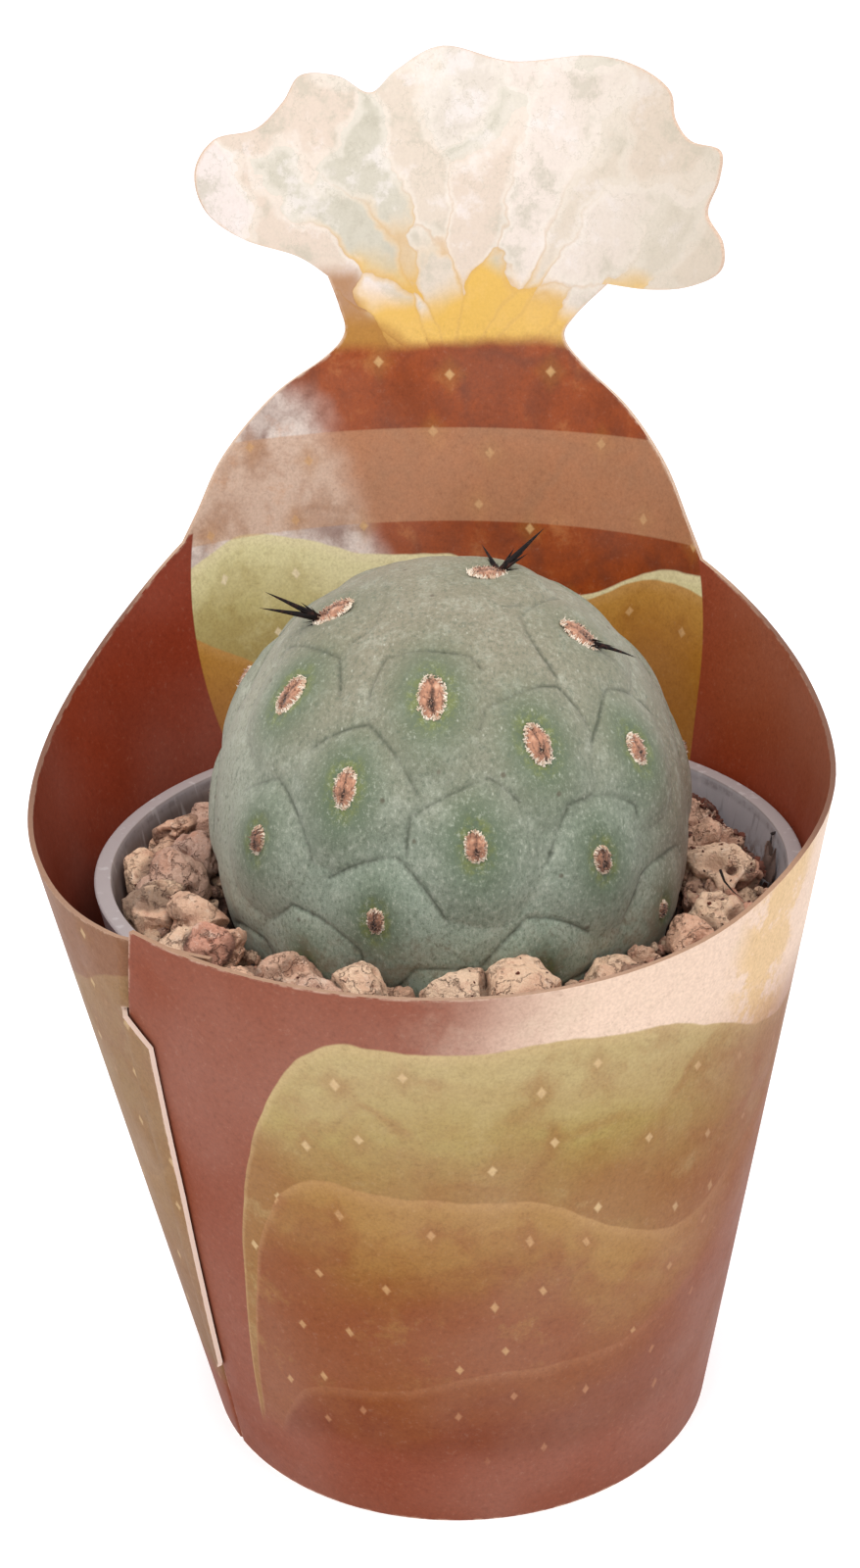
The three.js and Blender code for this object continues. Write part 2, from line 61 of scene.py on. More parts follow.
class Slot(Enum):
    """Material slots of the record."""

    CARD = "printed_card"
    PLASTIC = "grey_plastic"
    SOIL = "potting_soil"
    GRAVEL = "pumice_gravel"
    SKIN = "cactus_skin"


# ---- small maths


def rgb(red: float, green: float, blue: float) -> Colour:
    """Turns a screen colour, each part from 0 to 255, into the linear colour that shaders take."""
    shares = [value / 255 for value in (red, green, blue)]
    linear = [share / 12.92 if share <= 0.04045 else ((share + 0.055) / 1.055) ** 2.4 for share in shares]
    return (*linear, 1.0)


def smooth_step(value: Array | float) -> Array | float:
    """Smooth rise from 0 to 1 as the value goes from 0 to 1."""
    share = np.clip(value, 0, 1)
    return share * share * (3 - 2 * share)


def unit(vectors: Array) -> Array:
    """Vectors at length 1."""
    return vectors / np.linalg.norm(vectors, axis=-1, keepdims=True)


def turn_matrix(axis: int, angle: float) -> Array:
    """Rotation by an angle in radians about axis 0, 1 or 2."""
    return np.array(Matrix.Rotation(angle, 3, "XYZ"[axis]))


def from_front(turn: float, radius: float) -> tuple[float, float]:
    """Place at a radius from the pot's middle, at a turn in radians from the front to the right."""
    return radius * math.sin(turn), -radius * math.cos(turn)


def seeded_draws(seed: int) -> Callable[[], float]:
    """Gives a function for the next draw from 0 to 1, in the row of draws that the solids use."""
    word_size = 0xFFFFFFFF
    state = seed & word_size

    def draw() -> float:
        """The next draw."""
        nonlocal state
        state = (state + 0x6D2B79F5) & word_size
        word = ((state ^ (state >> 15)) * (state | 1)) & word_size
        word ^= (word + ((word ^ (word >> 7)) * (word | 61) & word_size)) & word_size
        return ((word ^ (word >> 14)) & word_size) / 2**32

    return draw


def geodesic(splits: int) -> tuple[Array, Array]:
    """Makes an even triangle net over the unit sphere.

    Args:
        splits: Number of parts that each side of the icosahedron is cut into.

    Returns:
        The points and the triangles.
    """
    golden = (1 + math.sqrt(5)) / 2
    corners = unit(np.array([
        [-1, golden, 0], [1, golden, 0], [-1, -golden, 0], [1, -golden, 0],
        [0, -1, golden], [0, 1, golden], [0, -1, -golden], [0, 1, -golden],
        [golden, 0, -1], [golden, 0, 1], [-golden, 0, -1], [-golden, 0, 1],
    ]))
    sides = [
        (0, 11, 5), (0, 5, 1), (0, 1, 7), (0, 7, 10), (0, 10, 11),
        (1, 5, 9), (5, 11, 4), (11, 10, 2), (10, 7, 6), (7, 1, 8),
        (3, 9, 4), (3, 4, 2), (3, 2, 6), (3, 6, 8), (3, 8, 9),
        (4, 9, 5), (2, 4, 11), (6, 2, 10), (8, 6, 7), (9, 8, 1),
    ]
    spots = [(i, j) for i in range(splits + 1) for j in range(splits + 1 - i)]
    place = {spot: number for number, spot in enumerate(spots)}
    net = [(place[i, j], place[i + 1, j], place[i, j + 1]) for i, j in spots if i + j < splits]
    net += [(place[i + 1, j], place[i + 1, j + 1], place[i, j + 1]) for i, j in spots if i + j < splits - 1]
    rows = []
    for side in sides:
        first, second, third = corners[list(side)]
        rows += [(first * (splits - i - j) + second * i + third * j) / splits for i, j in spots]
    points = unit(np.array(rows))
    starts = np.arange(len(sides))[:, None, None] * len(spots)
    _, keep, back = np.unique(np.round(points, 6), axis=0, return_index=True, return_inverse=True)
    return points[keep], back.reshape(-1)[(np.array(net) + starts).reshape(-1, 3)]


def noise_at(points: Array, size: float, seed: float = 0.0) -> Array:
    """Smooth noise of about -1 to 1 at points, with lumps of a size; the seed shifts it."""
    return np.array([noise.noise(Vector(place)) for place in points / size + seed])


def break_off(
    points: Array, size: float, breaks: int, reach: tuple[float, float], cut: float,
    random: np.random.Generator,
) -> Array:
    """Breaks flat faces off a lump, at shares of its half width from its middle."""
    for _ in range(breaks):
        normal = unit(random.normal(0, 1, 3))
        over = np.maximum(0, points @ normal - size * random.uniform(*reach))
        points = points - np.outer(over * cut, normal)
    return points


def ring_net(rings: int, sides: int, closed: bool) -> Array:
    """Four-sided faces between rings of points; closed when the last ring joins the first."""
    below = np.arange(rings if closed else rings - 1)[:, None] * sides
    above = (below + sides) % (rings * sides)
    side = np.arange(sides)
    after = (side + 1) % sides
    return np.stack([below + side, below + after, above + after, above + side], axis=-1).reshape(-1, 4)


# ---- meshes


class MeshDraft:
    """Points, faces and point values of one piece, gathered part by part in millimetres."""

    def __init__(self) -> None:
        """Starts an empty draft."""
        self.points: list[Array] = []
        self.faces: list[tuple[Array, int]] = []
        self.values: list[dict[str, Array]] = []
        self.count = 0

    def add(
        self, points: Array, faces: Sequence[Array], slots: Sequence[int] = (0,), **values: Array | float
    ) -> None:
        """Adds one part: points, arrays of faces, a material number for each or for all, and point values."""
        points = np.asarray(points, float)
        for number, group in enumerate(faces):
            self.faces.append((np.asarray(group) + self.count, slots[min(number, len(slots) - 1)]))
        self.points.append(points)
        self.values.append({name: np.broadcast_to(value, len(points)) for name, value in values.items()})
        self.count += len(points)

    def add_spikes(
        self, feet: Array, along: Array, lengths: Array, radii: Array, bend: Array, sides: int,
        name: str, values: tuple[Array | float, Array | float],
    ) -> None:
        """Adds bent, pointed hairs or spines.

        Args:
            feet: Foot of each one.
            along: Direction of each one, at length 1.
            lengths: Their lengths.
            radii: Their radii at the foot.
            bend: Sideways shift of each tip.
            sides: Corners round each one.
            name: Name of a point value.
            values: That value at the foot and at the tip, one for each or one for all.
        """
        shares = (0.0, 0.35, 0.7)
        count, per = len(feet), len(shares) * sides + 1
        helper = np.where(np.abs(along[:, 2:]) < 0.9, [[0.0, 0, 1]], [[1.0, 0, 0]])
        first = unit(np.cross(along, helper))
        second = np.cross(along, first)
        rings = []
        for share in shares:
            middle = feet + along * (lengths * share)[:, None] + bend * share**2
            radius = (radii * (1 - share**1.5))[:, None]
            for turn in 2 * math.pi * np.arange(sides) / sides:
                rings.append(middle + radius * (first * math.cos(turn) + second * math.sin(turn)))
        tips = feet + along * lengths[:, None] + bend
        start = (np.arange(count) * per)[:, None, None]
        last = (len(shares) - 1) * sides
        tops = np.array([(last + corner, last + (corner + 1) % sides, per - 1) for corner in range(sides)])
        groups = (ring_net(len(shares), sides, False), tops, np.arange(sides)[None, ::-1])
        faces = [(group[None] + start).reshape(-1, group.shape[1]) for group in groups]
        share_of = np.tile(np.repeat([*shares], sides).tolist() + [1.0], count)
        foot, tip = (np.repeat(np.broadcast_to(value, count), per) for value in values)
        points = np.stack([*rings, tips], axis=1).reshape(-1, 3)
        self.add(points, faces, **{name: foot + (tip - foot) * share_of})

    def make(
        self, name: str, materials: Sequence[bpy.types.Material], sharp: float = 180.0
    ) -> bpy.types.Object:
        """Makes the object in metres, with edges sharp where they turn by more than so many degrees."""
        mesh = bpy.data.meshes.new(name)
        faces = [tuple(face) for group, _ in self.faces for face in group.tolist()]
        mesh.from_pydata((np.concatenate(self.points) * MM).tolist(), [], faces)
        slots = np.concatenate([np.full(len(group), slot) for group, slot in self.faces])
        for material in materials:
            mesh.materials.append(material)
        mesh.polygons.foreach_set("material_index", slots.astype(np.int32))
        for key in self.values[0]:
            layer = mesh.attributes.new(key, "FLOAT", "POINT")
            numbers = np.concatenate([part[key] for part in self.values])
            layer.data.foreach_set("value", numbers.astype(np.float32))
        mesh.shade_smooth()
        if sharp < 180:
            mesh.set_sharp_from_angle(angle=math.radians(sharp))
        made = bpy.data.objects.new(name, mesh)
        bpy.context.scene.collection.objects.link(made)
        return made


def arc(across: float, up: float, radius: float, angles: Sequence[float]) -> list[tuple[float, float]]:
    """Points of an arc about (across, up), at angles in degrees from straight out towards straight up."""
    turns = np.radians(angles)
    return [(across + radius * math.cos(turn), up + radius * math.sin(turn)) for turn in turns]


def lathe(profile: Sequence[tuple[float, float]], sides: int) -> tuple[Array, Array]:
    """Turns an open profile of (radius, height) about +Z, and returns points and four-sided faces."""
    turns = np.arange(sides) * 2 * math.pi / sides
    points = [(radius * math.cos(turn), radius * math.sin(turn), height)
              for radius, height in profile for turn in turns]
    return np.array(points), ring_net(len(profile), sides, False)


def surface_tree(drafts: Sequence[MeshDraft]) -> BVHTree:
    """Makes a search tree of the surfaces of some drafts, in millimetres."""
    points, faces, start = [], [], 0
    for draft in drafts:
        points.append(np.concatenate(draft.points))
        faces += [tuple(face) for group, _ in draft.faces for face in (group + start).tolist()]
        start += draft.count
    return BVHTree.FromPolygons(np.concatenate(points).tolist(), faces)


# ---- shaders


class Wire:
    """One output of a shader node. Arithmetic on it adds Math nodes."""

    def __init__(self, shader: "Shader", socket: bpy.types.NodeSocket) -> None:
        """Wraps an output socket."""
        self.shader = shader
        self.socket = socket

    def _math(self, operation: str, *values: "Wire | float") -> "Wire":
        """A Math node on one or two values."""
        return self.shader.node("ShaderNodeMath", {"operation": operation}, dict(enumerate(values)))

    def __add__(self, other: "Wire | float") -> "Wire":
        """Sum."""
        return self._math("ADD", self, other)

    __radd__ = __add__

    def __sub__(self, other: "Wire | float") -> "Wire":
        """Difference."""
        return self._math("SUBTRACT", self, other)

    def __rsub__(self, other: float) -> "Wire":
        """Difference from a number."""
        return self._math("SUBTRACT", other, self)

    def __mul__(self, other: "Wire | float") -> "Wire":
        """Product."""
        return self._math("MULTIPLY", self, other)

    def __truediv__(self, other: "Wire | float") -> "Wire":
        """Quotient."""
        return self._math("DIVIDE", self, other)

    def __abs__(self) -> "Wire":
        """Absolute value."""
        return self._math("ABSOLUTE", self)

    def least(self, other: "Wire | float") -> "Wire":
        """The smaller of two."""
        return self._math("MINIMUM", self, other)

    def most(self, other: "Wire | float") -> "Wire":
        """The larger of two."""
        return self._math("MAXIMUM", self, other)

    def square(self) -> "Wire":
        """Product with itself."""
        return self * self

    def sine(self) -> "Wire":
        """Sine of radians."""
        return self._math("SINE", self)

    def root(self) -> "Wire":
        """Square root."""
        return self._math("SQRT", self)

    def floor(self) -> "Wire":
        """Next whole number below."""
        return self._math("FLOOR", self)

    def angle_of(self, other: "Wire | float") -> "Wire":
        """Angle whose tangent is this over the other."""
        return self._math("ARCTAN2", self, other)

    def rise(self, low: "Wire | float", high: "Wire | float") -> "Wire":
        """Smooth rise from 0 at low to 1 at high; low may be the larger."""
        settings = {"interpolation_type": "SMOOTHSTEP"}
        return self.shader.node("ShaderNodeMapRange", settings, {0: self, 1: low, 2: high, 3: 0.0, 4: 1.0})


class Shader:
    """A material under construction."""

    def __init__(self, name: str) -> None:
        """Starts an empty material."""
        self.material = bpy.data.materials.new(name)
        self.material.use_nodes = True
        self.tree = self.material.node_tree
        self.tree.nodes.clear()

    def node(
        self, kind: str, settings: dict[str, object], sockets: dict[int | str, object], output: int | str = 0
    ) -> Wire:
        """Adds any node.

        Args:
            kind: Type of the node.
            settings: Its settings, set first; stops are a ramp's (place, colour) pairs.
            sockets: Values or wires for its inputs, by name or number.
            output: The output to return.

        Returns:
            That output.
        """
        made = self.tree.nodes.new(kind)
        for key, value in settings.items():
            if key == "stops":
                self._set_stops(made.color_ramp, value)
            else:
                setattr(made, key, value)
        for key, value in sockets.items():
            if isinstance(value, Wire):
                self.tree.links.new(value.socket, made.inputs[key])
            else:
                made.inputs[key].default_value = value
        return Wire(self, made.outputs[output])

    @staticmethod
    def _set_stops(ramp: bpy.types.ColorRamp, stops: Sequence[tuple[float, Colour]]) -> None:
        """Sets a colour ramp's stops."""
        while len(ramp.elements) < len(stops):
            ramp.elements.new(1.0)
        for element, (place, colour) in zip(ramp.elements, stops):
            element.position = place
            element.color = colour

    def place(self) -> Wire:
        """Place in the object, in metres."""
        return self.node("ShaderNodeTexCoord", {}, {}, "Object")

    def split(self, vector: Wire) -> tuple[Wire, Wire, Wire]:
        """The three parts of a vector."""
        outputs = self.node("ShaderNodeSeparateXYZ", {}, {0: vector}).socket.node.outputs
        return Wire(self, outputs[0]), Wire(self, outputs[1]), Wire(self, outputs[2])

    def join(self, across: Wire | float, along: Wire | float, up: Wire | float) -> Wire:
        """A vector from three parts."""
        return self.node("ShaderNodeCombineXYZ", {}, {0: across, 1: along, 2: up})

    def stretch(self, vector: Wire, by: tuple[float, float, float]) -> Wire:
        """A vector with each part multiplied."""
        return self.node("ShaderNodeVectorMath", {"operation": "MULTIPLY"}, {0: vector, 1: by})

    def noise(
        self, size: float, detail: float = 2.0, rough: float = 0.5, vector: Wire | None = None
    ) -> Wire:
        """Cloudy noise of about 0 to 1, with clouds of so many millimetres."""
        place, scale = vector or self.place(), 1 / (size * MM)
        sockets = {"Vector": place, "Scale": scale, "Detail": detail, "Roughness": rough}
        return self.node("ShaderNodeTexNoise", {}, sockets)

    def cells(
        self, size: float, vector: Wire | None = None, feature: str = "F1", output: str = "Distance"
    ) -> Wire:
        """Cell noise, with cells of so many millimetres: a distance, or the output asked for."""
        sockets = {"Vector": vector or self.place(), "Scale": 1 / (size * MM)}
        return self.node("ShaderNodeTexVoronoi", {"feature": feature}, sockets, output)

    def value_of(self, name: str) -> Wire:
        """A point value of the mesh."""
        return self.node("ShaderNodeAttribute", {"attribute_name": name}, {}, "Fac")

    def ramp(self, value: Wire, stops: Sequence[tuple[float, Colour]]) -> Wire:
        """A colour from a value."""
        return self.node("ShaderNodeValToRGB", {"stops": stops}, {0: value})

    def mix(self, share: Wire | float, one: Wire | Colour, two: Wire | Colour, how: str = "MIX") -> Wire:
        """Mixes a share of the second colour into the first."""
        settings = {"data_type": "RGBA", "blend_type": how}
        return self.node("ShaderNodeMix", settings, {0: share, 6: one, 7: two}, 2)

    def coats(self, colour: Wire | Colour, *coats: tuple[Wire | float, Wire | Colour]) -> Wire:
        """Lays coats of (share, colour) over a colour, one after the other."""
        for share, coat in coats:
            colour = self.mix(share, colour, coat)
        return colour

    def warp(self, scale: float, detail: float, by: tuple[float, float, float], place: Wire) -> Wire:
        """Shifts a place by a noise of so many clouds in a metre, each part by so much."""
        sockets = {"Vector": self.place(), "Scale": scale, "Detail": detail}
        bend = self.node("ShaderNodeTexNoise", {}, sockets, "Color")
        return self.node("ShaderNodeVectorMath", {"operation": "MULTIPLY_ADD"}, {0: bend, 1: by, 2: place})

    def done(
        self, colour: Wire | Colour, rough: Wire | float, relief: tuple[Wire, float, float] | None,
        **others: object,
    ) -> bpy.types.Material:
        """Ends the material with one Principled shader.

        Args:
            colour: Its colour.
            rough: Its roughness.
            relief: Small relief: its wire, its full height in millimetres and its strength.
            others: Values for other inputs, with low lines for spaces.

        Returns:
            The material.
        """
        sockets = {"Base Color": colour, "Roughness": rough}
        sockets.update({name.replace("_", " "): value for name, value in others.items()})
        if relief is not None:
            bump = {"Height": relief[0], "Distance": relief[1] * MM, "Strength": relief[2]}
            sockets["Normal"] = self.node("ShaderNodeBump", {}, bump)
        surface = self.node("ShaderNodeBsdfPrincipled", {}, sockets)
        output = self.tree.nodes.new("ShaderNodeOutputMaterial")
        self.tree.links.new(surface.socket, output.inputs["Surface"])
        return self.material


# ---- finishes


@dataclass(frozen=True)
class Hill:
    """One printed dune: a wavy crest with a fade below it and rows of small marks."""

    level: float  # height of the crest
    waves: tuple[tuple[float, float, float], ...]  # (rise, waves a turn, shift in radians)
    crest: Colour
    middle: Colour
    foot: Colour
    fade: float  # millimetres from the crest's colour to the foot's
    marks: Colour


@dataclass(frozen=True)
class PrintedCard:
    """Coated card with a plain printed landscape of dunes."""

    brick: Colour = rgb(131, 63, 37)
    red_brown: Colour = rgb(145, 53, 26)
    sand: Colour = rgb(226, 200, 178)
    straw: Colour = rgb(142, 97, 70)
    cream: Colour = rgb(224, 212, 196)
    shell: Colour = rgb(212, 192, 168)
    yellow: Colour = rgb(232, 184, 68)
    terracotta: Colour = rgb(154, 66, 8)
    rust: Colour = rgb(132, 68, 42)
    board: Colour = rgb(214, 188, 166)  # the cut edge
    outside_hills: tuple[Hill, ...] = (
        Hill(44.5, ((3.4, 2.0, 0.9), (1.3, 5.0, 1.1)),
             rgb(176, 156, 104), rgb(160, 138, 76), rgb(142, 98, 46), 16, rgb(202, 172, 124)),
        Hill(31.0, ((4.0, 3.0, 3.8), (1.3, 7.0, 0.4)),
             rgb(158, 118, 60), rgb(140, 92, 40), rgb(130, 68, 28), 14, rgb(188, 146, 98)),
        Hill(17.5, ((3.4, 2.0, 4.4), (1.1, 6.0, 2.0)),
             rgb(128, 66, 18), rgb(118, 50, 6), rgb(112, 46, 8), 12, rgb(168, 114, 76)),
    )
    inside_hills: tuple[Hill, ...] = (
        Hill(62.0, ((2.4, 4.0, 3.3), (0.8, 11.0, 0.4)),
             rgb(226, 218, 166), rgb(196, 184, 124), rgb(172, 152, 90), 12, rgb(240, 224, 186)),
        Hill(57.0, ((4.2, 3.0, 5.3), (0.8, 9.0, 2.0)),
             rgb(192, 140, 60), rgb(178, 120, 40), rgb(164, 106, 34), 10, rgb(214, 170, 112)),
    )
    mark_step: float = 6.6  # from mark to mark along a row
    mark_row: float = 6.2
    mark_size: float = 0.55
    roughness: float = 0.5

    def _spot(self, shader: Shader) -> tuple[Wire, Wire]:
        """Turn in degrees and height in millimetres on the flat card."""
        across, up, _ = shader.split(shader.node("ShaderNodeUVMap", {"uv_map": "card"}, {}))
        return across * MAP_SPAN[0], up * MAP_SPAN[1]

    def _dunes(self, shader: Shader, ground: Wire, hills: Sequence[Hill], turn: Wire, height: Wire) -> Wire:
        """Prints hills over a ground.

        Args:
            shader: The material.
            ground: The colour behind the hills.
            hills: The hills, from the back to the front.
            turn: Turn on the card in degrees.
            height: Height on the card in millimetres.

        Returns:
            The printed colour.
        """
        drift = shader.noise(9, 3) - 0.5
        cloud = shader.noise(12, 5, 0.62)
        blot = shader.noise(4.5, 5, 0.72)
        cracks = self._cracks(shader)
        picture = ground
        for number, hill in enumerate(hills):
            flank = (turn - (190.0 + 6.0 * number)).most(0.0)
            crest = drift * 2.2 + hill.level
            for rise, rate, shift in hill.waves:
                crest = crest + (turn * math.radians(rate) + shift).sine() * rise
            below = crest - height
            depth = below - flank.square() * 0.034
            body = below.rise(0, hill.fade) + (cloud - 0.5) * 1.1
            ripple = (depth * 2.1 + drift * 14).sine().rise(-1, 1)
            colour = shader.coats(
                shader.ramp(body, ((0.0, hill.crest), (0.45, hill.middle), (1.0, hill.foot))),
                (blot.rise(0.5, 0.7) * 0.42, hill.foot),
                (blot.rise(0.47, 0.3) * 0.42, hill.crest),
                (cracks * depth.rise(1, 4) * 0.5, hill.foot),
                (ripple * depth.rise(0.4, 3) * 0.12, hill.foot),
                (depth.rise(1.4, 0) * 0.3, hill.marks),
            )
            colour = self._marks(shader, colour, hill, turn, below)
            picture = shader.mix(depth.rise(-0.12, 0.12), picture, colour)
        return picture

    @staticmethod
    def _cracks(shader: Shader) -> Wire:
        """Soft lines of dried ground, from 0 to 1."""
        place = shader.warp(260.0, 3.0, (0.004, 0.004, 0.004), shader.place())
        line = shader.cells(7.5, place, "DISTANCE_TO_EDGE").rise(0.11, 0.0)
        return line * shader.noise(6, 3).rise(0.35, 0.6)

    def _marks(self, shader: Shader, ground: Wire, hill: Hill, turn: Wire, depth: Wire) -> Wire:
        """Prints a hill's rows of small diamonds, staggered from row to row, at depths below its crest."""
        row = (depth / self.mark_row).floor()
        along = turn * (FLAT_SCALE / self.mark_step) + row * 0.5
        column = along.floor()
        shift = (column * 2.7 + row * 4.1 + hill.level).sine() * 0.16
        up = depth - (row + 0.5 + shift) * self.mark_row
        across = (along - column - 0.5 + shift * 1.3) * self.mark_step
        spread = abs(across) * 1.3 + abs(up)
        shade = spread.rise(self.mark_size * 4.2, self.mark_size) * 0.34
        dot = spread.rise(self.mark_size * 1.15, self.mark_size * 0.5)
        return shader.coats(ground, (shade, hill.foot), (dot * 0.8, hill.marks))

    def _coated(self, shader: Shader, printed: Wire, height: Wire) -> bpy.types.Material:
        """Ends the coated print, with worn cut edges, print grain and dust.

        Args:
            shader: The material.
            printed: The colour of the ink.
            height: Height on the card in millimetres. The pale crown has the least grain.

        Returns:
            The material.
        """
        grain = shader.noise(0.22, 1)
        cloud = shader.noise(22, 3)
        wear = shader.value_of("edge").rise(0.22, 0.02) * shader.noise(1.4, 3, 0.7).rise(0.4, 0.62)
        inked = height.rise(83, 79) * 0.7 + 0.3
        swing = (grain.rise(0.25, 0.75) - 0.5) * inked * 0.14
        printed = shader.mix(swing + 0.17, printed, rgb(96, 52, 40), "MULTIPLY")
        printed = shader.coats(
            printed, (cloud.rise(0.3, 0.8) * 0.07, rgb(255, 238, 224)), (wear * 0.5, self.board))
        speck = shader.noise(0.5, 4, 0.8)
        printed = shader.mix(speck.rise(0.5, 0.72) * inked * 0.2, printed, rgb(112, 70, 52), "MULTIPLY")
        printed = shader.mix(speck.rise(0.44, 0.3) * 0.035, printed, rgb(255, 236, 206))
        rough = self.roughness + shader.noise(4, 4, 0.6).rise(0.3, 0.8) * 0.14 + wear * 0.3
        swell = shader.noise(0.35, 2) + shader.noise(6, 2) * 4
        return shader.done(printed, rough, (swell, 0.012, 0.5), Specular_IOR_Level=0.1)

    def outside(self) -> bpy.types.Material:
        """The print on the outer face."""
        shader = Shader("card_outside_print")
        turn, height = self._spot(shader)
        drift = (shader.noise(12, 3) - 0.5) * 40
        blot = shader.noise(5, 5, 0.7)
        patch = (turn + drift * 0.3).rise(136, 129) * (turn + drift * 0.3).rise(113, 121)
        patch = patch * (height + drift * 0.1).rise(36, 41) * blot.rise(0.44, 0.54)
        sky = shader.coats(
            self.brick,
            ((turn + drift * 0.6).rise(188, 158), self.sand),
            (blot.rise(0.5, 0.7) * turn.rise(190, 160) * 0.5, self.shell),
            (patch * 0.55, rgb(212, 172, 92)),
            ((turn + drift).rise(92, 44), self.terracotta),
            ((turn + drift).rise(-60, -112), self.straw),
            ((height + drift * 0.05).rise(82.5, 84.5), self.cream),
        )
        picture = self._dunes(shader, sky, self.outside_hills, turn, height)
        side = shader.mix(height.rise(42, 32), rgb(126, 82, 50), rgb(136, 103, 66))
        picture = shader.mix(turn.rise(-40, -104) * 0.75, picture, side)
        flecked = self._marks(shader, picture, self.outside_hills[0], turn, height + 2)
        picture = shader.mix(turn.rise(-80, -104) * 0.8, picture, flecked)
        shade = turn.rise(158, 118) * (turn - drift * 0.3).rise(62, 96) * height.rise(46, 38)
        ground = (height + drift * 0.05 + blot * 3).rise(10.5, 6.5)
        picture = shader.coats(picture, (shade * 0.72, self.rust), (ground, self.brick))
        return self._coated(shader, picture, height)

    def inside(self) -> bpy.types.Material:
        """The print on the inner face: plain, with a picture on the header; painted shade towards the left
        and a painted sheen at the upper right.
        """
        shader = Shader("card_inside_print")
        turn, height = self._spot(shader)
        drift = shader.noise(10, 3) - 0.5
        blot = shader.noise(4.5, 5, 0.68)
        plain = shader.coats(
            self.red_brown,
            (shader.noise(16, 3).rise(0.3, 0.75) * 0.3, rgb(96, 38, 22)),
            # painted sheen: the inner face lighter towards its upper right, where the light falls on it
            (turn.rise(36, 62) * height.rise(44, 56) * 0.32, rgb(186, 112, 66)),
            # painted shade: the inner face darker towards the left, away from the light
            (turn.rise(-62, -95) * 0.25, rgb(78, 28, 14)),
        )
        slope = turn + (height - 70) * 0.9 + drift * 22
        sky = shader.coats(
            self.terracotta,
            (slope.rise(-6, -16), rgb(228, 214, 204)),
            (blot.rise(0.44, 0.66) * 0.5, rgb(118, 50, 16)),
            (blot.rise(0.47, 0.3) * 0.5, rgb(198, 126, 70)),
            (self._cracks(shader) * 0.4, rgb(100, 46, 26)),
        )
        sky = self._marks(shader, sky, self.inside_hills[1], turn, 81 - height)
        picture = self._dunes(shader, sky, self.inside_hills, turn, height)
        label = height.rise(64.9, 65.1) * height.rise(73.1, 72.9)
        crown = self._crown(shader, turn, height, drift)
        picture = shader.coats(
            picture, (label * 0.52, rgb(200, 152, 112)), ((height + drift * 3).rise(79.6, 81.0), crown))
        left = turn - (height - 56).square() * 0.03 + 39.3
        right = 49.7 - (height - 54).most(0).square() * 0.03 - turn
        inside = left.least(right).rise(-0.15, 0.15).most(height.rise(66, 66.2))
        return self._coated(shader, shader.mix(inside, plain, picture), height)

    def _crown(self, shader: Shader, turn: Wire, height: Wire, drift: Wire) -> Wire:
        """Cloudy cream that opens out in rays from the header's neck, yellow at its foot.

        Args:
            shader: The material.
            turn: Turn on the card in degrees.
            height: Height on the card in millimetres.
            drift: Slow noise about zero.

        Returns:
            The colour.
        """
        across = (turn - 6) * 0.6
        up = height - 76
        reach = (across.square() + up.square()).root()
        fan = shader.join(across.angle_of(up) * 0.022, reach * 0.00055, 0.0)
        spot = shader.warp(150.0, 4.0, (0.009, 0.009, 0.0), fan)
        tone = shader.split(shader.cells(6.5, spot, output="Color"))[0]
        seam = shader.cells(6.5, spot, "DISTANCE_TO_EDGE")
        cloud = shader.noise(5, 6, 0.7)
        vein = abs(shader.noise(4, 5, 0.7) - 0.5).rise(0.014, 0.0)
        warm = (up + abs(across) * 0.2 - tone * 6 + drift * 9).rise(8.5, 5.5)
        streak = (reach - tone * 7 + drift * 8).rise(12.0, 8.0) * seam.rise(0.1, 0.02)
        amber = (up + across * 0.8 + tone * 4 + drift * 10).rise(6.0, 3.5) * (up + tone * 2).rise(11.5, 9.5)
        return shader.coats(
            self.cream,
            (tone.rise(0.5, 0.9) * 0.85, rgb(204, 202, 186)),
            (tone.rise(0.45, 0.1) * 0.6, rgb(226, 208, 192)),
            (tone.rise(0.58, 0.6) * tone.rise(0.74, 0.72) * 0.85, rgb(240, 230, 226)),
            (tone.rise(0.3, 0.29) * tone.rise(0.18, 0.19) * 0.6, rgb(240, 231, 224)),
            (cloud.rise(0.49, 0.62) * 0.6, rgb(192, 188, 170)),
            (cloud.rise(0.46, 0.34) * 0.55, rgb(244, 238, 236)),
            (seam.rise(0.10, 0.03) * 0.45, rgb(242, 235, 224)),
            (seam.rise(0.03, 0.0) * reach.rise(24, 10) * 0.5, rgb(206, 172, 134)),
            (vein * reach.rise(12, 20) * 0.3, rgb(172, 168, 148)),
            (across.rise(6, 18) * 0.4, rgb(206, 196, 176)),
            (warm * 0.9, self.yellow),
            (streak * 0.5, rgb(216, 172, 92)),
            (amber * 0.8, rgb(164, 104, 34)),
        )

    def cut_edge(self) -> bpy.types.Material:
        """The bare board at the cut edges."""
        shader = Shader("card_cut_edge")
        layers = shader.noise(0.3, 2, 0.6, shader.stretch(shader.place(), (1, 1, 3)))
        across, _, up = shader.split(shader.place())
        sides = across.square().rise(0.00052, 0.00072) * up.rise(0.049, 0.055)
        tab = up.rise(0.0455, 0.0445) * across.rise(-0.013, -0.015)
        colour = shader.coats(
            self.board,
            (up.rise(0.080, 0.056), rgb(162, 126, 101)),
            (up.rise(0.052, 0.047) * 0.4, rgb(236, 212, 194)),
            (layers.rise(0.3, 0.7) * 0.4, rgb(142, 110, 88)),
            (sides * 0.8, rgb(98, 58, 44)),
            (tab * 0.9, rgb(238, 216, 200)),
        )
        return shader.done(colour, 0.85, (layers, 0.05, 0.5))


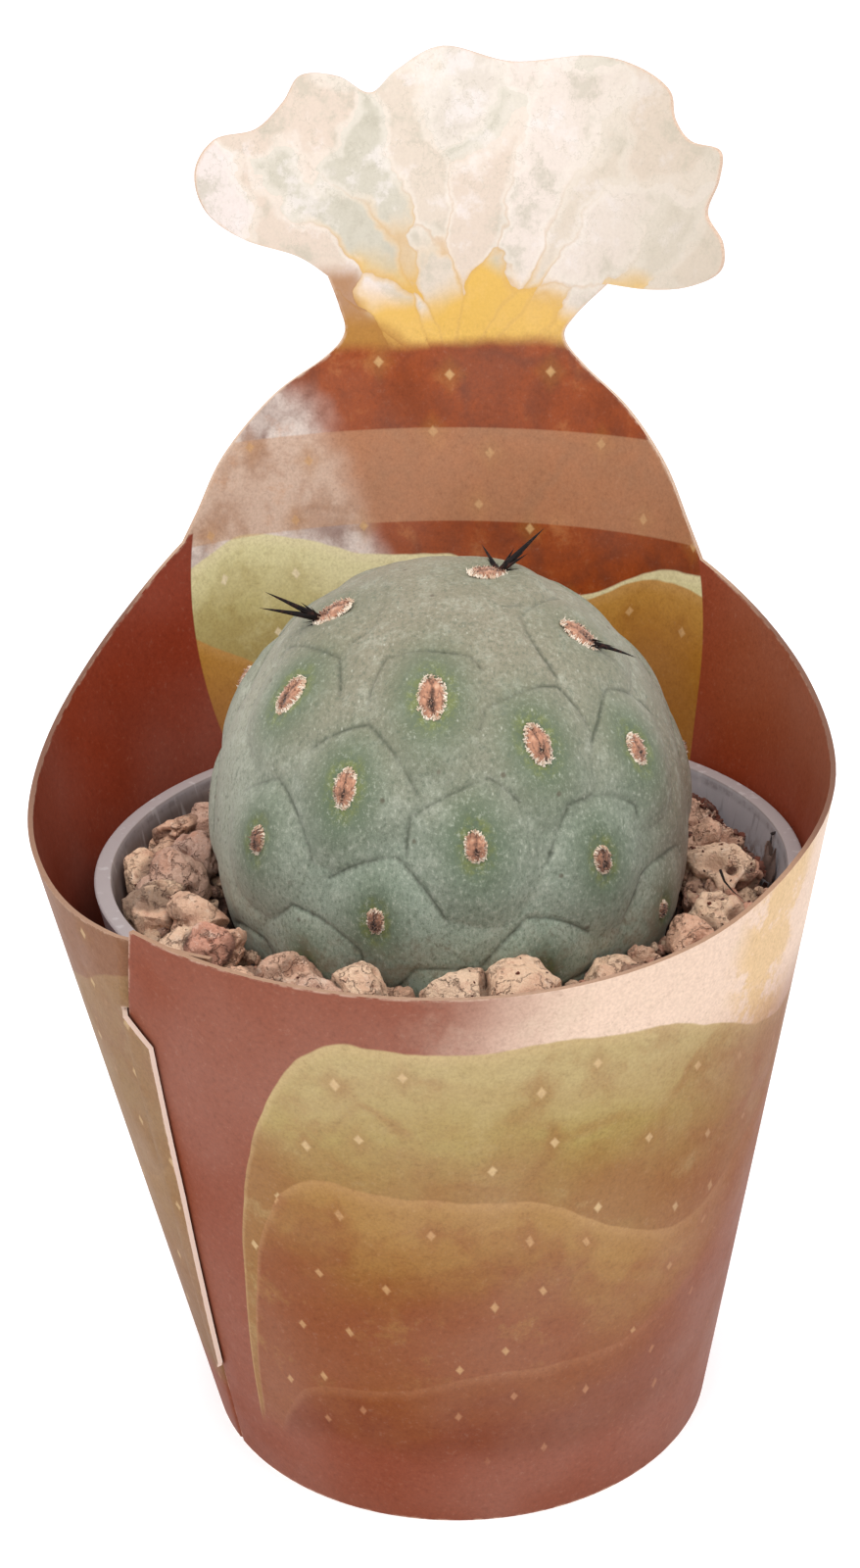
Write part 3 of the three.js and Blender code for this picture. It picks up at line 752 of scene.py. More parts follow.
@dataclass(frozen=True)
class MattePlastic:
    """Thin grey polypropylene with mould marks, scuffs and a line of dust, with painted shade on the left of
    the inner wall and in a line below the lip.
    """

    grey: Colour = rgb(178, 174, 180)
    dark: Colour = rgb(140, 134, 138)
    rim: Colour = rgb(159, 147, 146)
    shaded: Colour = rgb(98, 84, 80)
    dust: Colour = rgb(112, 82, 66)

    def material(self) -> bpy.types.Material:
        """The pot's material."""
        shader = Shader("matte_grey_plastic")
        across, along, up = shader.split(shader.place())
        radius = (across.square() + along.square()).root()
        inner = radius.rise(0.0262, 0.0258) * up.rise(0.030, 0.036)
        cloud = shader.noise(6, 4, 0.6)
        scratch = shader.noise(0.9, 2, 0.5, shader.stretch(shader.place(), (1, 1, 0.12)))
        line = inner * (up + (cloud - 0.5) * 0.007).rise(0.0464, 0.0432)
        patch = shader.noise(0.9, 3, 0.7).rise(0.4, 0.58)
        # groove: painted shade in a line on the inner wall just below the lip, made uneven by noise
        groove = inner * up.rise(0.0466, 0.0470) * up.rise(0.0474, 0.0472)
        notch = shader.noise(1.3, 3, 0.7).rise(0.46, 0.6)
        colour = shader.coats(
            self.grey,
            (cloud.rise(0.3, 0.75) * 0.4, self.dark),
            (inner * across.rise(0.010, -0.012) * (cloud * 0.3 + 0.8), self.shaded),
            (up.rise(0.04738, 0.04752) * 0.85, self.rim),
            (scratch.rise(0.6, 0.7) * 0.3, rgb(206, 202, 204)),
            (scratch.rise(0.4, 0.32) * inner * 0.4, rgb(84, 76, 76)),
            (line * patch * 0.85, self.dust),
            # painted shade below the lip
            (groove * (notch * 0.55 + 0.25), rgb(78, 66, 64)),
        )
        rough = 0.48 + cloud.rise(0.3, 0.8) * 0.16 + line * 0.2
        fine = shader.noise(0.25, 2) + shader.noise(3, 2)
        return shader.done(colour, rough, (fine, 0.02, 0.5))


@dataclass(frozen=True)
class PeatSoil:
    """Dark crumbly potting soil."""

    dark: Colour = rgb(44, 28, 21)
    light: Colour = rgb(104, 70, 50)

    def material(self, name: str) -> bpy.types.Material:
        """The soil's material, under a name."""
        shader = Shader(name)
        crumbs = shader.cells(0.9)
        fine = shader.noise(0.5, 4, 0.7)
        colour = shader.coats(
            self.dark,
            (crumbs.rise(0.55, 0.1) * 0.6, self.light),
            (fine.rise(0.55, 0.75) * 0.7, rgb(140, 98, 74)),
        )
        return shader.done(colour, 0.95, (fine * 0.6 + crumbs.rise(0.7, 0.0), 0.5, 0.8))


@dataclass(frozen=True)
class Pumice:
    """Porous cream and pink stone. A stone's tone picks its colour."""

    tones: tuple[Colour, ...] = (
        rgb(206, 168, 152), rgb(240, 194, 164), rgb(252, 214, 180), rgb(253, 218, 186), rgb(248, 200, 168),
        rgb(226, 164, 140),
    )
    # painted shade at the stones' feet and in the seams between them
    foot_and_seam_shade: Colour = rgb(84, 53, 41)

    def material(self) -> bpy.types.Material:
        """The stones' material."""
        shader = Shader("porous_stone")
        stops = [(number / (len(self.tones) - 1), tone) for number, tone in enumerate(self.tones)]
        cloud = shader.noise(1.6, 5, 0.7)
        grain = shader.noise(0.2, 4, 0.75)
        crack = abs(shader.noise(1.7, 4, 0.6) - 0.5).rise(0.026, 0.0) * shader.noise(2.2, 2).rise(0.42, 0.55)
        pores = shader.cells(0.5).rise(0.32, 0.2) * shader.noise(1.1, 2).rise(0.46, 0.58)
        up = shader.split(shader.place())[2]
        # low: painted shade, darker towards the stones' feet
        low = (up + (cloud - 0.5) * 0.003).rise(0.0445, 0.0431)
        # seam: painted shade where stones lie close to each other
        seam = shader.value_of("seam") * (cloud * 0.4 + 0.6)
        colour = shader.coats(
            shader.ramp(shader.value_of("tone"), stops),
            (shader.noise(3.4, 4, 0.6).rise(0.5, 0.66) * 0.4, rgb(220, 156, 126)),
            (cloud.rise(0.52, 0.68) * 0.55, rgb(214, 156, 130)),
            (cloud.rise(0.46, 0.32) * 0.5, rgb(255, 230, 208)),
            (grain.rise(0.55, 0.7) * 0.4, rgb(168, 116, 90)),
            (grain.rise(0.45, 0.3) * 0.35, rgb(255, 238, 220)),
            (crack * 0.4, rgb(150, 98, 74)),
            (pores * 0.25, rgb(136, 92, 70)),
            # painted shade in the stones' pits
            (shader.value_of("pit").rise(0.45, 1.0) * 0.45, rgb(150, 98, 76)),
            # painted shade at the feet and seams; the pebbles and grit get this colour all over
            (low.most(seam).least(1.0) * 0.8, self.foot_and_seam_shade),
        )
        height = shader.noise(0.35, 5, 0.75) * 1.2 - pores - crack
        return shader.done(colour, 0.95, (height, 0.32, 1.0))


@dataclass(frozen=True)
class CactusSkin:
    """Waxy grey-green skin with a fine bloom, green round the areoles, warm at the crown; painted shade on
    the right side and in the creases, painted light on the left side and at the foot.
    """

    # the skin's own tones from foot to crown; the foot is painted lighter where the sleeve shades it, and the
    # crown painted darker under the top light
    low: Colour = rgb(152, 167, 150)
    middle: Colour = rgb(124, 132, 115)
    crown: Colour = rgb(137, 129, 108)
    halo: Colour = rgb(74, 94, 64)
    ring: Colour = rgb(118, 126, 62)
    # painted shade in the creases between tubercles
    crease: Colour = rgb(58, 64, 48)
    bloom: Colour = rgb(192, 196, 180)
    grain: Colour = rgb(84, 96, 78)
    # painted shade on the globe's right side, warm brown
    right_shade: Colour = rgb(118, 93, 70)

    def material(self) -> bpy.types.Material:
        """The globe's material."""
        shader = Shader("waxy_cactus_skin")
        place = shader.place()
        across, _, up = shader.split(place)
        cloud = shader.noise(5, 5, 0.65)
        level = up / MM + (cloud - 0.5) * 9
        fleck = shader.noise(0.3, 5, 0.85, shader.stretch(place, (1, 1, 0.7)))
        near = shader.value_of("halo")
        ring = near.rise(0.68, 0.88) * shader.noise(0.8, 4, 0.7).rise(0.38, 0.62)
        stain = (level + (fleck - 0.5) * 9).rise(50, 45.5) * shader.noise(1.4, 4, 0.7).rise(0.4, 0.62)
        crease = shader.value_of("crease") * shader.noise(3, 3).rise(0.25, 0.6)
        dots = shader.cells(2.1).rise(0.13, 0.05)
        picked = shader.split(shader.cells(2.1, output="Color"))[0].rise(0.58, 0.62)
        streak = shader.cells(0.75, shader.stretch(place, (1.6, 1, 0.75))).rise(0.2, 0.06)
        streak = streak * shader.noise(1.2, 3, 0.6).rise(0.5, 0.62)
        colour = shader.coats(
            # ramp of the skin's own tones, with painted light at the foot and a painted darkening at the
            # crown
            shader.ramp(level.rise(43, 71), ((0.0, self.low), (0.5, self.middle), (1.0, self.crown))),
            # painted shade: darker and browner towards the right side
            (across.rise(0.0125, 0.019) * 0.8, self.right_shade),
            # painted light: the skin lighter towards the left side
            (across.rise(-0.009, -0.018) * 0.42, rgb(190, 186, 168)),
            (shader.noise(1.8, 5, 0.75).rise(0.46, 0.7) * 0.3, self.bloom),
            ((near * (0.4 + cloud * 0.45 + fleck * 0.6)).least(1.0) * 0.95, self.halo),
            (ring * 0.65, self.ring),
            (fleck.rise(0.53, 0.64) * (up.rise(0.066, 0.050) * 0.2 + 0.3), self.bloom),
            (fleck.rise(0.49, 0.38) * 0.62, self.grain),
            (stain * 0.4, rgb(138, 112, 88)),
            # painted shade in the creases
            (crease * 0.72, self.crease),
            (dots * picked * 0.6, rgb(82, 66, 50)),
            (streak * 0.4, rgb(208, 210, 194)),
        )
        rough = 0.52 + fleck.rise(0.4, 0.7) * 0.16
        height = fleck * 0.9 + shader.noise(0.9, 4, 0.6) * 1.5
        return shader.done(
            colour, rough, (height, 0.09, 0.7), Specular_IOR_Level=0.3, Sheen_Weight=0.08,
            Sheen_Roughness=0.6, Subsurface_Weight=0.05, Subsurface_Radius=(0.6 * MM, 0.9 * MM, 0.4 * MM),
        )


@dataclass(frozen=True)
class Wool:
    """Short wool of the areoles. A hair's tone goes from dark felt to cream."""

    tones: tuple[tuple[float, Colour], ...] = (
        (0.0, rgb(46, 30, 24)), (0.22, rgb(118, 84, 66)), (0.5, rgb(186, 134, 106)),
        (0.74, rgb(214, 184, 156)), (1.0, rgb(244, 232, 214)),
    )

    def material(self) -> bpy.types.Material:
        """The wool's material."""
        shader = Shader("areole_wool")
        tone = shader.value_of("tone") + (shader.noise(0.35, 2) - 0.5) * 0.3
        return shader.done(shader.ramp(tone, self.tones), 0.9, None, Sheen_Weight=0.3, Sheen_Roughness=0.5)


@dataclass(frozen=True)
class Thorn:
    """Near-black horn of the spines, brown at the foot."""

    black: Colour = rgb(16, 11, 11)
    brown: Colour = rgb(84, 46, 36)

    def material(self) -> bpy.types.Material:
        """The spines' material."""
        shader = Shader("dark_spine")
        streak = shader.noise(0.3, 3, 0.6)
        colour = shader.coats(
            self.black,
            (shader.value_of("share").rise(0.18, 0.0) * 0.8, self.brown),
            (streak.rise(0.5, 0.65) * 0.5, rgb(72, 40, 32)),
        )
        return shader.done(colour, 0.5 + streak * 0.2, (streak, 0.03, 1.0), Specular_IOR_Level=0.15)


@dataclass(frozen=True)
class DryLitter:
    """Dead scraps of plant. A scrap's tone goes from red-brown over grey to black."""

    tones: tuple[tuple[float, Colour], ...] = (
        (0.0, rgb(96, 52, 40)), (0.5, rgb(104, 84, 76)), (0.75, rgb(84, 74, 74)), (1.0, rgb(30, 22, 20)),
    )

    def material(self) -> bpy.types.Material:
        """The litter's material."""
        shader = Shader("dry_litter")
        cloud = shader.noise(0.6, 4, 0.7)
        colour = shader.ramp(shader.value_of("tone") + (cloud - 0.5) * 0.5, self.tones)
        return shader.done(colour, 0.85, (cloud, 0.1, 0.8), Specular_IOR_Level=0.25)


# ---- shared sizes


@dataclass(frozen=True)
class PotSizes:
    """Sizes of the nursery pot, which the gravel follows."""

    height: float = 47.6
    rim_radius: float = 27.4
    rim_band: float = 4.2  # height of the rim band
    rim_lip: float = 1.3  # width of the rim's top
    band_draft: float = 0.18  # by which the band widens a millimetre of height
    wall: float = 0.9
    base_radius: float = 18.8
    floor: float = 1.2

    def inside(self, height: Array | float) -> Array | float:
        """Inner radius at a height."""
        share = (height - self.floor) / (self.height - self.floor)
        bottom = self.base_radius - self.wall
        return bottom + share * (self.rim_radius - self.rim_lip - bottom)


def place_piece(piece: bpy.types.Object, slot: Slot, *nodes: str) -> None:
    """Ties a piece to the object, in place of the named solids."""
    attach(piece, "root")
    if nodes:
        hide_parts(*nodes)
    LOG.info("%s: %d faces", piece.name, len(piece.data.polygons))


# ---- card sleeve


@dataclass
class CardSleeve:
    """A card sheet rolled to a leaning cone, with a die-cut header, its left end lapped and tabbed."""

    card: float = 0.4
    base_radius: float = 20.84
    flare: float = 0.1836  # by which the radius grows a millimetre of height
    base_centre: tuple[float, float] = (0.0, 0.4)
    lean: tuple[float, float] = (-0.0288, -0.006)  # by which the middle moves a millimetre of height
    lap_offset: float = 0.6  # of the tab and of the strips beside it from the plain cone
    lap_rise: float = 1.4  # degrees over which they step out and in
    lap_lead: float = 0.2  # degrees from there to the front panel's edge
    lap_steps: int = 4  # points across the rise
    slit: float = 0.3  # width of the tab's slits
    tab_top: float = 44.3
    tab_bottom: float = 9.2
    column: float = 1.6  # degrees between the points inside the sheet
    row: float = 1.1  # millimetres between them
    curve_steps: int = 9  # between two given points of a curved edge
    edge_gap: float = 0.4  # free strip along the cut edges
    sharp: float = 40.0  # degrees over which an edge of the mesh stays sharp
    finish: PrintedCard = PrintedCard()

    def _front_edge(self) -> list[tuple[float, float]]:
        """Corners of the front panel's left edge, from the bottom."""
        return [(239, 0), (235.4, 10), (228, self.tab_top), (221.8, 52.4)]

    def outline(self) -> list[tuple[float, float]]:
        """The whole cut edge as (turn, height)."""
        upper, lower = self.tab_top + self.slit, self.tab_bottom - self.slit
        top = [
            [(221.8, 52.4), (200, 51.2), (170, 50.4), (142, 51.2), (118, 53.8), (90, 56.1), (70, 59.3),
             (47, 64)],
            [(47, 64), (43.4, 67), (38.7, 71.2), (32, 75.4), (25.4, 78.4), (22, 80.7), (23.4, 82.6),
             (28, 85.4)],
            [(28, 85.4), (34, 85.2), (40, 85.7), (44.6, 87.2), (44.6, 89.4), (41.8, 91.6), (43, 94.2),
             (42.8, 96.5), (38.4, 97.1), (36, 98.7), (34.8, 101), (30, 102.8), (24, 103.5), (14.4, 103),
             (6, 104.3), (0.3, 102.5), (-3.2, 100.7), (-7, 102.1), (-11.6, 102.3), (-14.2, 100.2),
             (-18, 98.2), (-23.4, 97.6), (-26.6, 95.2), (-26, 92), (-21.6, 89.5), (-14.6, 87.8),
             (-10.6, 86)],
            [(-10.6, 86), (-9.4, 83.4), (-9, 81.2), (-12, 79.3), (-20, 76.5), (-28.9, 72), (-34.4, 67.9),
             (-38, 65.5)],
            [(-38, 65.5), (-52, 61), (-68, 56.9), (-86, 53.7), (-104, 52), (-121, 51.1), (-138, 51.4),
             (-150.5, 51.8)],
        ]
        tab = [
            (-150.5, 51.8), (-146, upper), (-130.3, upper), (-130.3, self.tab_top), (-132.2, self.tab_top),
            (-136.4, 42.4), (-132.6, 28), (-129.3, 18.6), (-126, 9.9), (-124.8, self.tab_bottom),
            (-122.6, self.tab_bottom), (-122.6, lower), (-139, lower), (-135, 0),
        ]
        edge = self._front_edge()[:-1]
        for curve in top:
            edge += self._smooth(curve)
        return self._dense(edge + tab)

    def _smooth(self, points: Sequence[tuple[float, float]]) -> list[tuple[float, float]]:
        """Points along a smooth curve through the given ones, without the last."""
        knots = np.array([points[0], *points, points[-1]])
        fine = []
        for start in range(len(points) - 1):
            before, first, second, after = knots[start:start + 4]
            for step in range(self.curve_steps):
                t = step / self.curve_steps
                slope_one, slope_two = (second - before) / 2, (after - first) / 2
                cubic = 2 * first - 2 * second + slope_one + slope_two
                square = -3 * first + 3 * second - 2 * slope_one - slope_two
                fine.append(tuple(cubic * t**3 + square * t**2 + slope_one * t + first))
        return fine

    def _dense(self, points: Sequence[tuple[float, float]]) -> list[tuple[float, float]]:
        """The outline with its long straight cuts split into short steps."""
        dense = []
        for number, (turn, height) in enumerate(points):
            next_turn, next_height = points[(number + 1) % len(points)]
            length = math.hypot((next_turn - turn) * FLAT_SCALE, next_height - height)
            parts = max(1, round(length / self.row))
            shares = [part / parts for part in range(parts)]
            dense += [(turn + (next_turn - turn) * share, height + (next_height - height) * share)
                      for share in shares]
        return dense

    def _past(self, turn: Array | float, height: Array) -> Array:
        """Degrees by which points of the left panel lie beyond the front panel's left edge."""
        corners = self._front_edge()
        edge = np.interp(height, [level for _, level in corners], [place for place, _ in corners])
        return edge - 360 - turn

    def _folds(self, levels: Array) -> Array:
        """Points along the lines where the left panel steps in and out."""
        levels = levels[levels < self._front_edge()[-1][1]]
        leads = self.lap_lead + self.lap_rise * np.linspace(0, 1, self.lap_steps + 1)
        return np.array([(self._past(0.0, level) + lead, level) for level in levels for lead in leads])

    def _lap(self, turn: Array, height: Array) -> Array:
        """How far points stand off the plain cone: the tab outwards, the strips inwards."""
        past = self._past(turn, height)
        share = np.where(turn < 0, smooth_step((past + self.lap_rise + self.lap_lead) / self.lap_rise), 0)
        in_tab = (height > self.tab_bottom - self.slit / 2) & (height < self.tab_top + self.slit / 2)
        return np.where(in_tab, 1, -1) * share * self.lap_offset

    def card_points(self, flat: Array, depth: float) -> Array:
        """Points (turn, height) of the flat card in the round, so deep under its outer face."""
        turn, height = flat[:, 0], flat[:, 1]
        radius = self.base_radius + self.flare * height + self._lap(turn, height) - depth
        angle = np.radians(turn)
        return np.stack([
            self.base_centre[0] + self.lean[0] * height + radius * np.sin(angle),
            self.base_centre[1] + self.lean[1] * height + radius * np.cos(angle),
            height,
        ], axis=1)

    def _net(self) -> tuple[Array, Array, Array]:
        """Points (turn, height) and triangles of the flat sheet, and each point's distance to its edge."""
        scale = np.array([FLAT_SCALE, 1.0])
        edge = np.array(self.outline())
        ends = np.roll(edge, -1, axis=0)
        turns = np.arange(edge[:, 0].min(), edge[:, 0].max(), self.column)
        levels = np.arange(self.row / 2, edge[:, 1].max(), self.row)
        grid = np.array([
            (turn + (number % 2) * self.column / 2, level)
            for number, level in enumerate(levels) for turn in turns
        ])
        past = self._past(grid[:, 0], grid[:, 1]) + self.lap_lead
        near_fold = (past > -self.lap_rise - self.column / 2) & (past < self.column / 2)
        grid = np.concatenate([grid[~near_fold | (grid[:, 0] > 0)], self._folds(levels)])
        crossings = np.zeros(len(grid), int)
        nearest = np.full(len(grid), np.inf)
        for start, end in zip(edge, ends):
            above = (start[1] > grid[:, 1]) != (end[1] > grid[:, 1])
            if above.any():
                where = start[0] + (grid[:, 1] - start[1]) * (end[0] - start[0]) / (end[1] - start[1])
                crossings += above & (grid[:, 0] < where)
            line = (end - start) * scale
            offset = (grid - start) * scale
            share = np.clip(offset @ line / (line @ line), 0, 1)
            nearest = np.minimum(nearest, np.linalg.norm(offset - share[:, None] * line, axis=1))
        inner = (crossings % 2 == 1) & (nearest > self.edge_gap)
        flat = np.concatenate([edge, grid[inner]])
        gap = np.concatenate([np.zeros(len(edge)), nearest[inner]])
        found = delaunay_2d_cdt(
            [Vector(point * scale) for point in flat], [], [list(range(len(edge)))], 1, NET_ROUNDING)
        kept = np.array([origin[0] for origin in found[3]])
        return flat[kept], np.array(found[2]), gap[kept]

    def build(self) -> bpy.types.Object:
        """The sleeve's mesh, with outer and inner faces and the cut edge."""
        flat, faces, gap = self._net()
        count = len(flat)
        draft = MeshDraft()
        points = np.concatenate([self.card_points(flat, 0), self.card_points(flat, self.card)])
        sides = np.concatenate([faces[:, [0, 1]], faces[:, [1, 2]], faces[:, [2, 0]]])
        known = {tuple(side) for side in sides.tolist()}
        rim = np.array([side for side in sides.tolist() if (side[1], side[0]) not in known])
        wall = np.stack([rim[:, 0], rim[:, 1], rim[:, 1] + count, rim[:, 0] + count], axis=1)
        draft.add(points, [faces[:, ::-1], faces + count, wall], (0, 1, 2), edge=np.tile(gap, 2))
        materials = [self.finish.outside(), self.finish.inside(), self.finish.cut_edge()]
        sleeve = draft.make("card_sleeve_printed", materials, self.sharp)
        layer = sleeve.data.uv_layers.new(name="card")
        corners = np.zeros(len(sleeve.data.loops), np.int32)
        sleeve.data.loops.foreach_get("vertex_index", corners)
        spots = np.tile(flat / MAP_SPAN, (2, 1))
        layer.data.foreach_set("uv", spots[corners].astype(np.float32).ravel())
        return sleeve

    def dress(self) -> None:
        """Builds the sleeve and ties it to the object."""
        place_piece(self.build(), Slot.CARD, "card_sleeve")


# ---- pot


@dataclass
class NurseryPot:
    """A thin pot with a rim band and drainage holes in its floor."""

    sizes: PotSizes = PotSizes()
    sides: int = 160
    holes: int = 8
    hole_radius: float = 1.8
    hole_ring: float = 13.5
    hole_sides: int = 28
    foot_edge: float = 0.5  # rounding of the foot
    edge: float = 0.22  # rounding of the rim's outer edge
    lip_edge: float = 0.1  # rounding of its inner edge
    sharp: float = 32.0
    finish: MattePlastic = MattePlastic()

    def _profile(self) -> list[tuple[float, float]]:
        """The wall's profile from the outer foot over the rim to the inner floor."""
        size = self.sizes
        foot, top = size.height - size.rim_band, size.height
        band = size.rim_radius - size.rim_band * size.band_draft
        outer_foot = size.inside(foot) + size.wall
        flat_foot = size.base_radius - self.foot_edge
        lip, inner = size.inside(top), size.inside(size.floor)
        return [
            (flat_foot, 0.0),
            *arc(flat_foot, self.foot_edge, self.foot_edge, (-60, -30, 0)),
            *((size.inside(level) + size.wall, level) for level in np.linspace(3, foot - 0.4, 12)),
            (outer_foot, foot - 0.12), (outer_foot + 0.12, foot), (band - 0.2, foot), (band, foot + 0.2),
            (size.rim_radius - size.band_draft * self.edge, top - self.edge),
            *arc(size.rim_radius - self.edge, top - self.edge, self.edge, (25, 50, 75, 90)),
            *arc(lip + self.lip_edge, top - self.lip_edge, self.lip_edge, (90, 120, 150, 180)),
            *((size.inside(level), level) for level in np.linspace(top - 0.4, 2.2, 14)),
            (inner - 0.3, size.floor + 0.25), (inner - 0.8, size.floor),
        ]

    def _plate(self, radius: float) -> tuple[Array, Array]:
        """Points and triangles of a flat disc with the drainage holes."""
        def circle(sides: int, shift: float = 0.0) -> Array:
            """Points of a unit circle."""
            turns = (np.arange(sides) + shift) * 2 * math.pi / sides
            return np.stack([np.cos(turns), np.sin(turns)], axis=1)

        middles = self.hole_ring * circle(self.holes, 0.5)
        rounds = [radius * circle(self.sides)]
        rounds += [middle + self.hole_radius * circle(self.hole_sides) for middle in middles]
        flat = np.concatenate(rounds)
        edges, start = [], 0
        for points in rounds:
            edges += [(start + k, start + (k + 1) % len(points)) for k in range(len(points))]
            start += len(points)
        found = delaunay_2d_cdt([Vector(point) for point in flat], edges, [], 0, NET_ROUNDING)
        kept = np.array([origin[0] for origin in found[3]])
        faces = kept[np.array(found[2])]
        centres = flat[faces].mean(axis=1)
        free = np.ones(len(faces), bool)
        for middle in middles:
            free &= np.linalg.norm(centres - middle, axis=1) > self.hole_radius * 0.97
        return flat, faces[free]

    def build(self) -> bpy.types.Object:
        """The pot's mesh."""
        size = self.sizes
        profile = self._profile()
        draft = MeshDraft()
        wall, wall_faces = lathe(profile, self.sides)
        lower, lower_faces = self._plate(profile[0][0])
        upper, upper_faces = self._plate(profile[-1][0])
        bottom = np.column_stack([lower, np.zeros(len(lower))])
        top = np.column_stack([upper, np.full(len(upper), size.floor)])
        low_map = np.arange(len(lower)) + len(wall)
        high_map = np.arange(len(upper)) + len(wall) + len(lower)
        low_map[:self.sides] = np.arange(self.sides)
        high_map[:self.sides] = np.arange(self.sides) + len(wall) - self.sides
        bores = []
        for number in range(self.holes):
            ring = self.sides + number * self.hole_sides + np.arange(self.hole_sides)
            after = np.roll(ring, -1)
            bores.append(np.stack([low_map[ring], high_map[ring], high_map[after], low_map[after]], axis=1))
        points = np.concatenate([wall, bottom, top])
        groups = [wall_faces, low_map[lower_faces[:, ::-1]], high_map[upper_faces], np.concatenate(bores)]
        used = np.unique(np.concatenate([group.ravel() for group in groups]))
        renumber = np.zeros(len(points), int)
        renumber[used] = np.arange(len(used))
        draft.add(points[used], [renumber[group] for group in groups])
        return draft.make("nursery_pot", [self.finish.material()], self.sharp)

    def dress(self) -> None:
        """Builds the pot and ties it to the object."""
        place_piece(self.build(), Slot.PLASTIC, "pot")


# ---- cactus


@dataclass
class Areole:
    """One areole: its number along the spiral, its direction, and its tubercle's middle."""

    order: int
    at: Array
    middle: Array


@dataclass
class GlobeCactus:
    """A leaning globe with tubercles along a spiral, woolly areoles and a few dark spines."""

    centre: tuple[float, float, float] = (0.25, 0.0, 50.4)
    radius: float = 18.35
    half_height: float = 20.4
    lean_front: float = 0.2  # radians
    lean_left: float = 0.047
    spiral_turn: float = -137.5  # degrees from one areole to the next
    spiral_start: float = -8.0
    spiral_offset: float = 4.75  # areoles that fit between the tip and number 0
    spiral_step: float = 0.031  # share of the half height that one areole takes
    youngest: int = -2
    oldest: int = 56
    tubercle_radius: float = 5.3
    tubercle_drop: float = 0.8
    tubercle_rise: float = 0.45
    bare_tip: float = 4.5
    areole_length: float = 1.85
    areole_shrink: float = 0.028
    areole_width: float = 0.52
    halo_reach: float = 1.75  # of an areole's half length
    young_halo: float = 0.35  # strength round the youngest areoles, but for number 0
    felt_reach: float = 1.5
    felt_depth: float = 0.24
    valley_width: float = 1.1
    valley_depth: float = 0.13
    crease_width: float = 0.13
    crease_depth: float = 0.11
    crease_run: float = 2.4  # by which a crease seems away where it fades
    round_from: int = 9  # order from which an areole's felt is rounder
    old_from: int = 15  # order from which it is dark
    spine_taper: float = 0.055  # radius at the foot as a share of the length
    root: tuple[tuple[float, float], ...] = (
        (0.01, 19), (2.2, 19), (2.9, 23), (3.6, 27), (4.4, 30), (5, 33), (0.01, 33),
    )
    gravel_level: float = 46.6
    soil_top: float = 39.6
    splits: int = 96
    seed: int = 311
    finish: CactusSkin = CactusSkin()

    def __post_init__(self) -> None:
        """Works out the axes, the areoles and the mean radius."""
        self.radii = np.array([self.radius, self.radius, self.half_height])
        self.mean_radius = (self.radius + self.half_height) / 2
        self.lean = turn_matrix(1, -self.lean_left) @ turn_matrix(0, self.lean_front)
        self.tip = self.lean @ np.array([0.0, 0.0, 1.0])
        self.draws = np.random.default_rng(self.seed)
        self.areoles = self._lay_areoles()
        self.wobble = self.draws.uniform(-1, 1, (len(self.areoles), 3))

    @staticmethod
    def _strays() -> dict[int, tuple[float, float]]:
        """How some areoles stray from the spiral: degrees round the stem and away from the tip."""
        return {
            -2: (2, 0), -1: (-3, -12), 0: (5, 1), 1: (-12, 8), 2: (0, -3), 3: (-2, 0), 4: (0, 5),
            5: (5, 1), 6: (-20, 4), 7: (22, 3), 10: (3, 2), 11: (-29, 0), 13: (2, 0), 15: (24, 0),
            16: (-4, 1), 18: (0, 1), 19: (-16, 2), 21: (-2, 0), 23: (29, 0), 24: (-29, 0), 26: (2, 7),
            28: (14, 0), 31: (6, -1), 32: (-16, 0), 36: (16, 0),
        }

    @staticmethod
    def _spines() -> dict[int, tuple[tuple[float, float, float], ...]]:
        """The spines that are left: (length, lean to the side, lift out of the skin) by areole."""
        return {
            -2: ((5.0, -0.25, 1.2), (4.9, 0.15, 1.7)),
            -1: ((5.4, -0.1, 0.85), (3.8, -5.0, 1.6)),
            2: ((3.7, 0.0, 0.45),),
            4: ((3.8, 0.2, 0.8),),
        }

    def _direction(self, turn: float, fall: float) -> Array:
        """Direction at a turn from the front and a fall from the tip, both in degrees."""
        around, down = math.radians(turn), math.radians(fall)
        upright = (math.sin(down) * math.sin(around), -math.sin(down) * math.cos(around), math.cos(down))
        return self.lean @ np.array(upright)

    def _lay_areoles(self) -> list[Areole]:
        """The areoles along the spiral, youngest first."""
        strays = self._strays()
        drop_angle = math.degrees(self.tubercle_drop / self.mean_radius)
        areoles = []
        for order in range(self.youngest, self.oldest + 1):
            stray, drop = strays.get(order, (0, 0))
            turn = self.spiral_start + self.spiral_turn * order + stray
            fall = math.degrees(math.acos(1 - (order + self.spiral_offset) * self.spiral_step)) + drop
            middle = self._direction(turn, fall + drop_angle)
            areoles.append(Areole(order, self._direction(turn, fall), middle))
        return areoles

    def _axes(self, areole: Areole) -> tuple[Array, Array, Array]:
        """Axes at an areole: out of the skin, away from the tip, and sideways."""
        out = unit(areole.at / self.radii)
        side = unit(np.cross(self.tip, out))
        down = -np.cross(out, side)
        return out, down, np.cross(down, out)

    def _half_length(self, areole: Areole) -> float:
        """Half the length of an areole's pad."""
        return self.areole_length - self.areole_shrink * (areole.order - self.youngest)

    def _reach(self, number: int, around: Array) -> Array:
        """Radius of a tubercle's uneven, rounded pentagon at angles round its middle, 0 towards the tip."""
        tilt, first, second = self.wobble[number]
        sector = 2 * math.pi / 5
        straight = math.cos(sector / 2) / np.cos((around + 0.6 * tilt) % sector - sector / 2)
        waves = 0.035 * np.cos(2 * around + 3 * first) + 0.025 * np.cos(3 * around + 3 * second)
        return self.tubercle_radius * (0.42 + 0.62 * straight + waves)

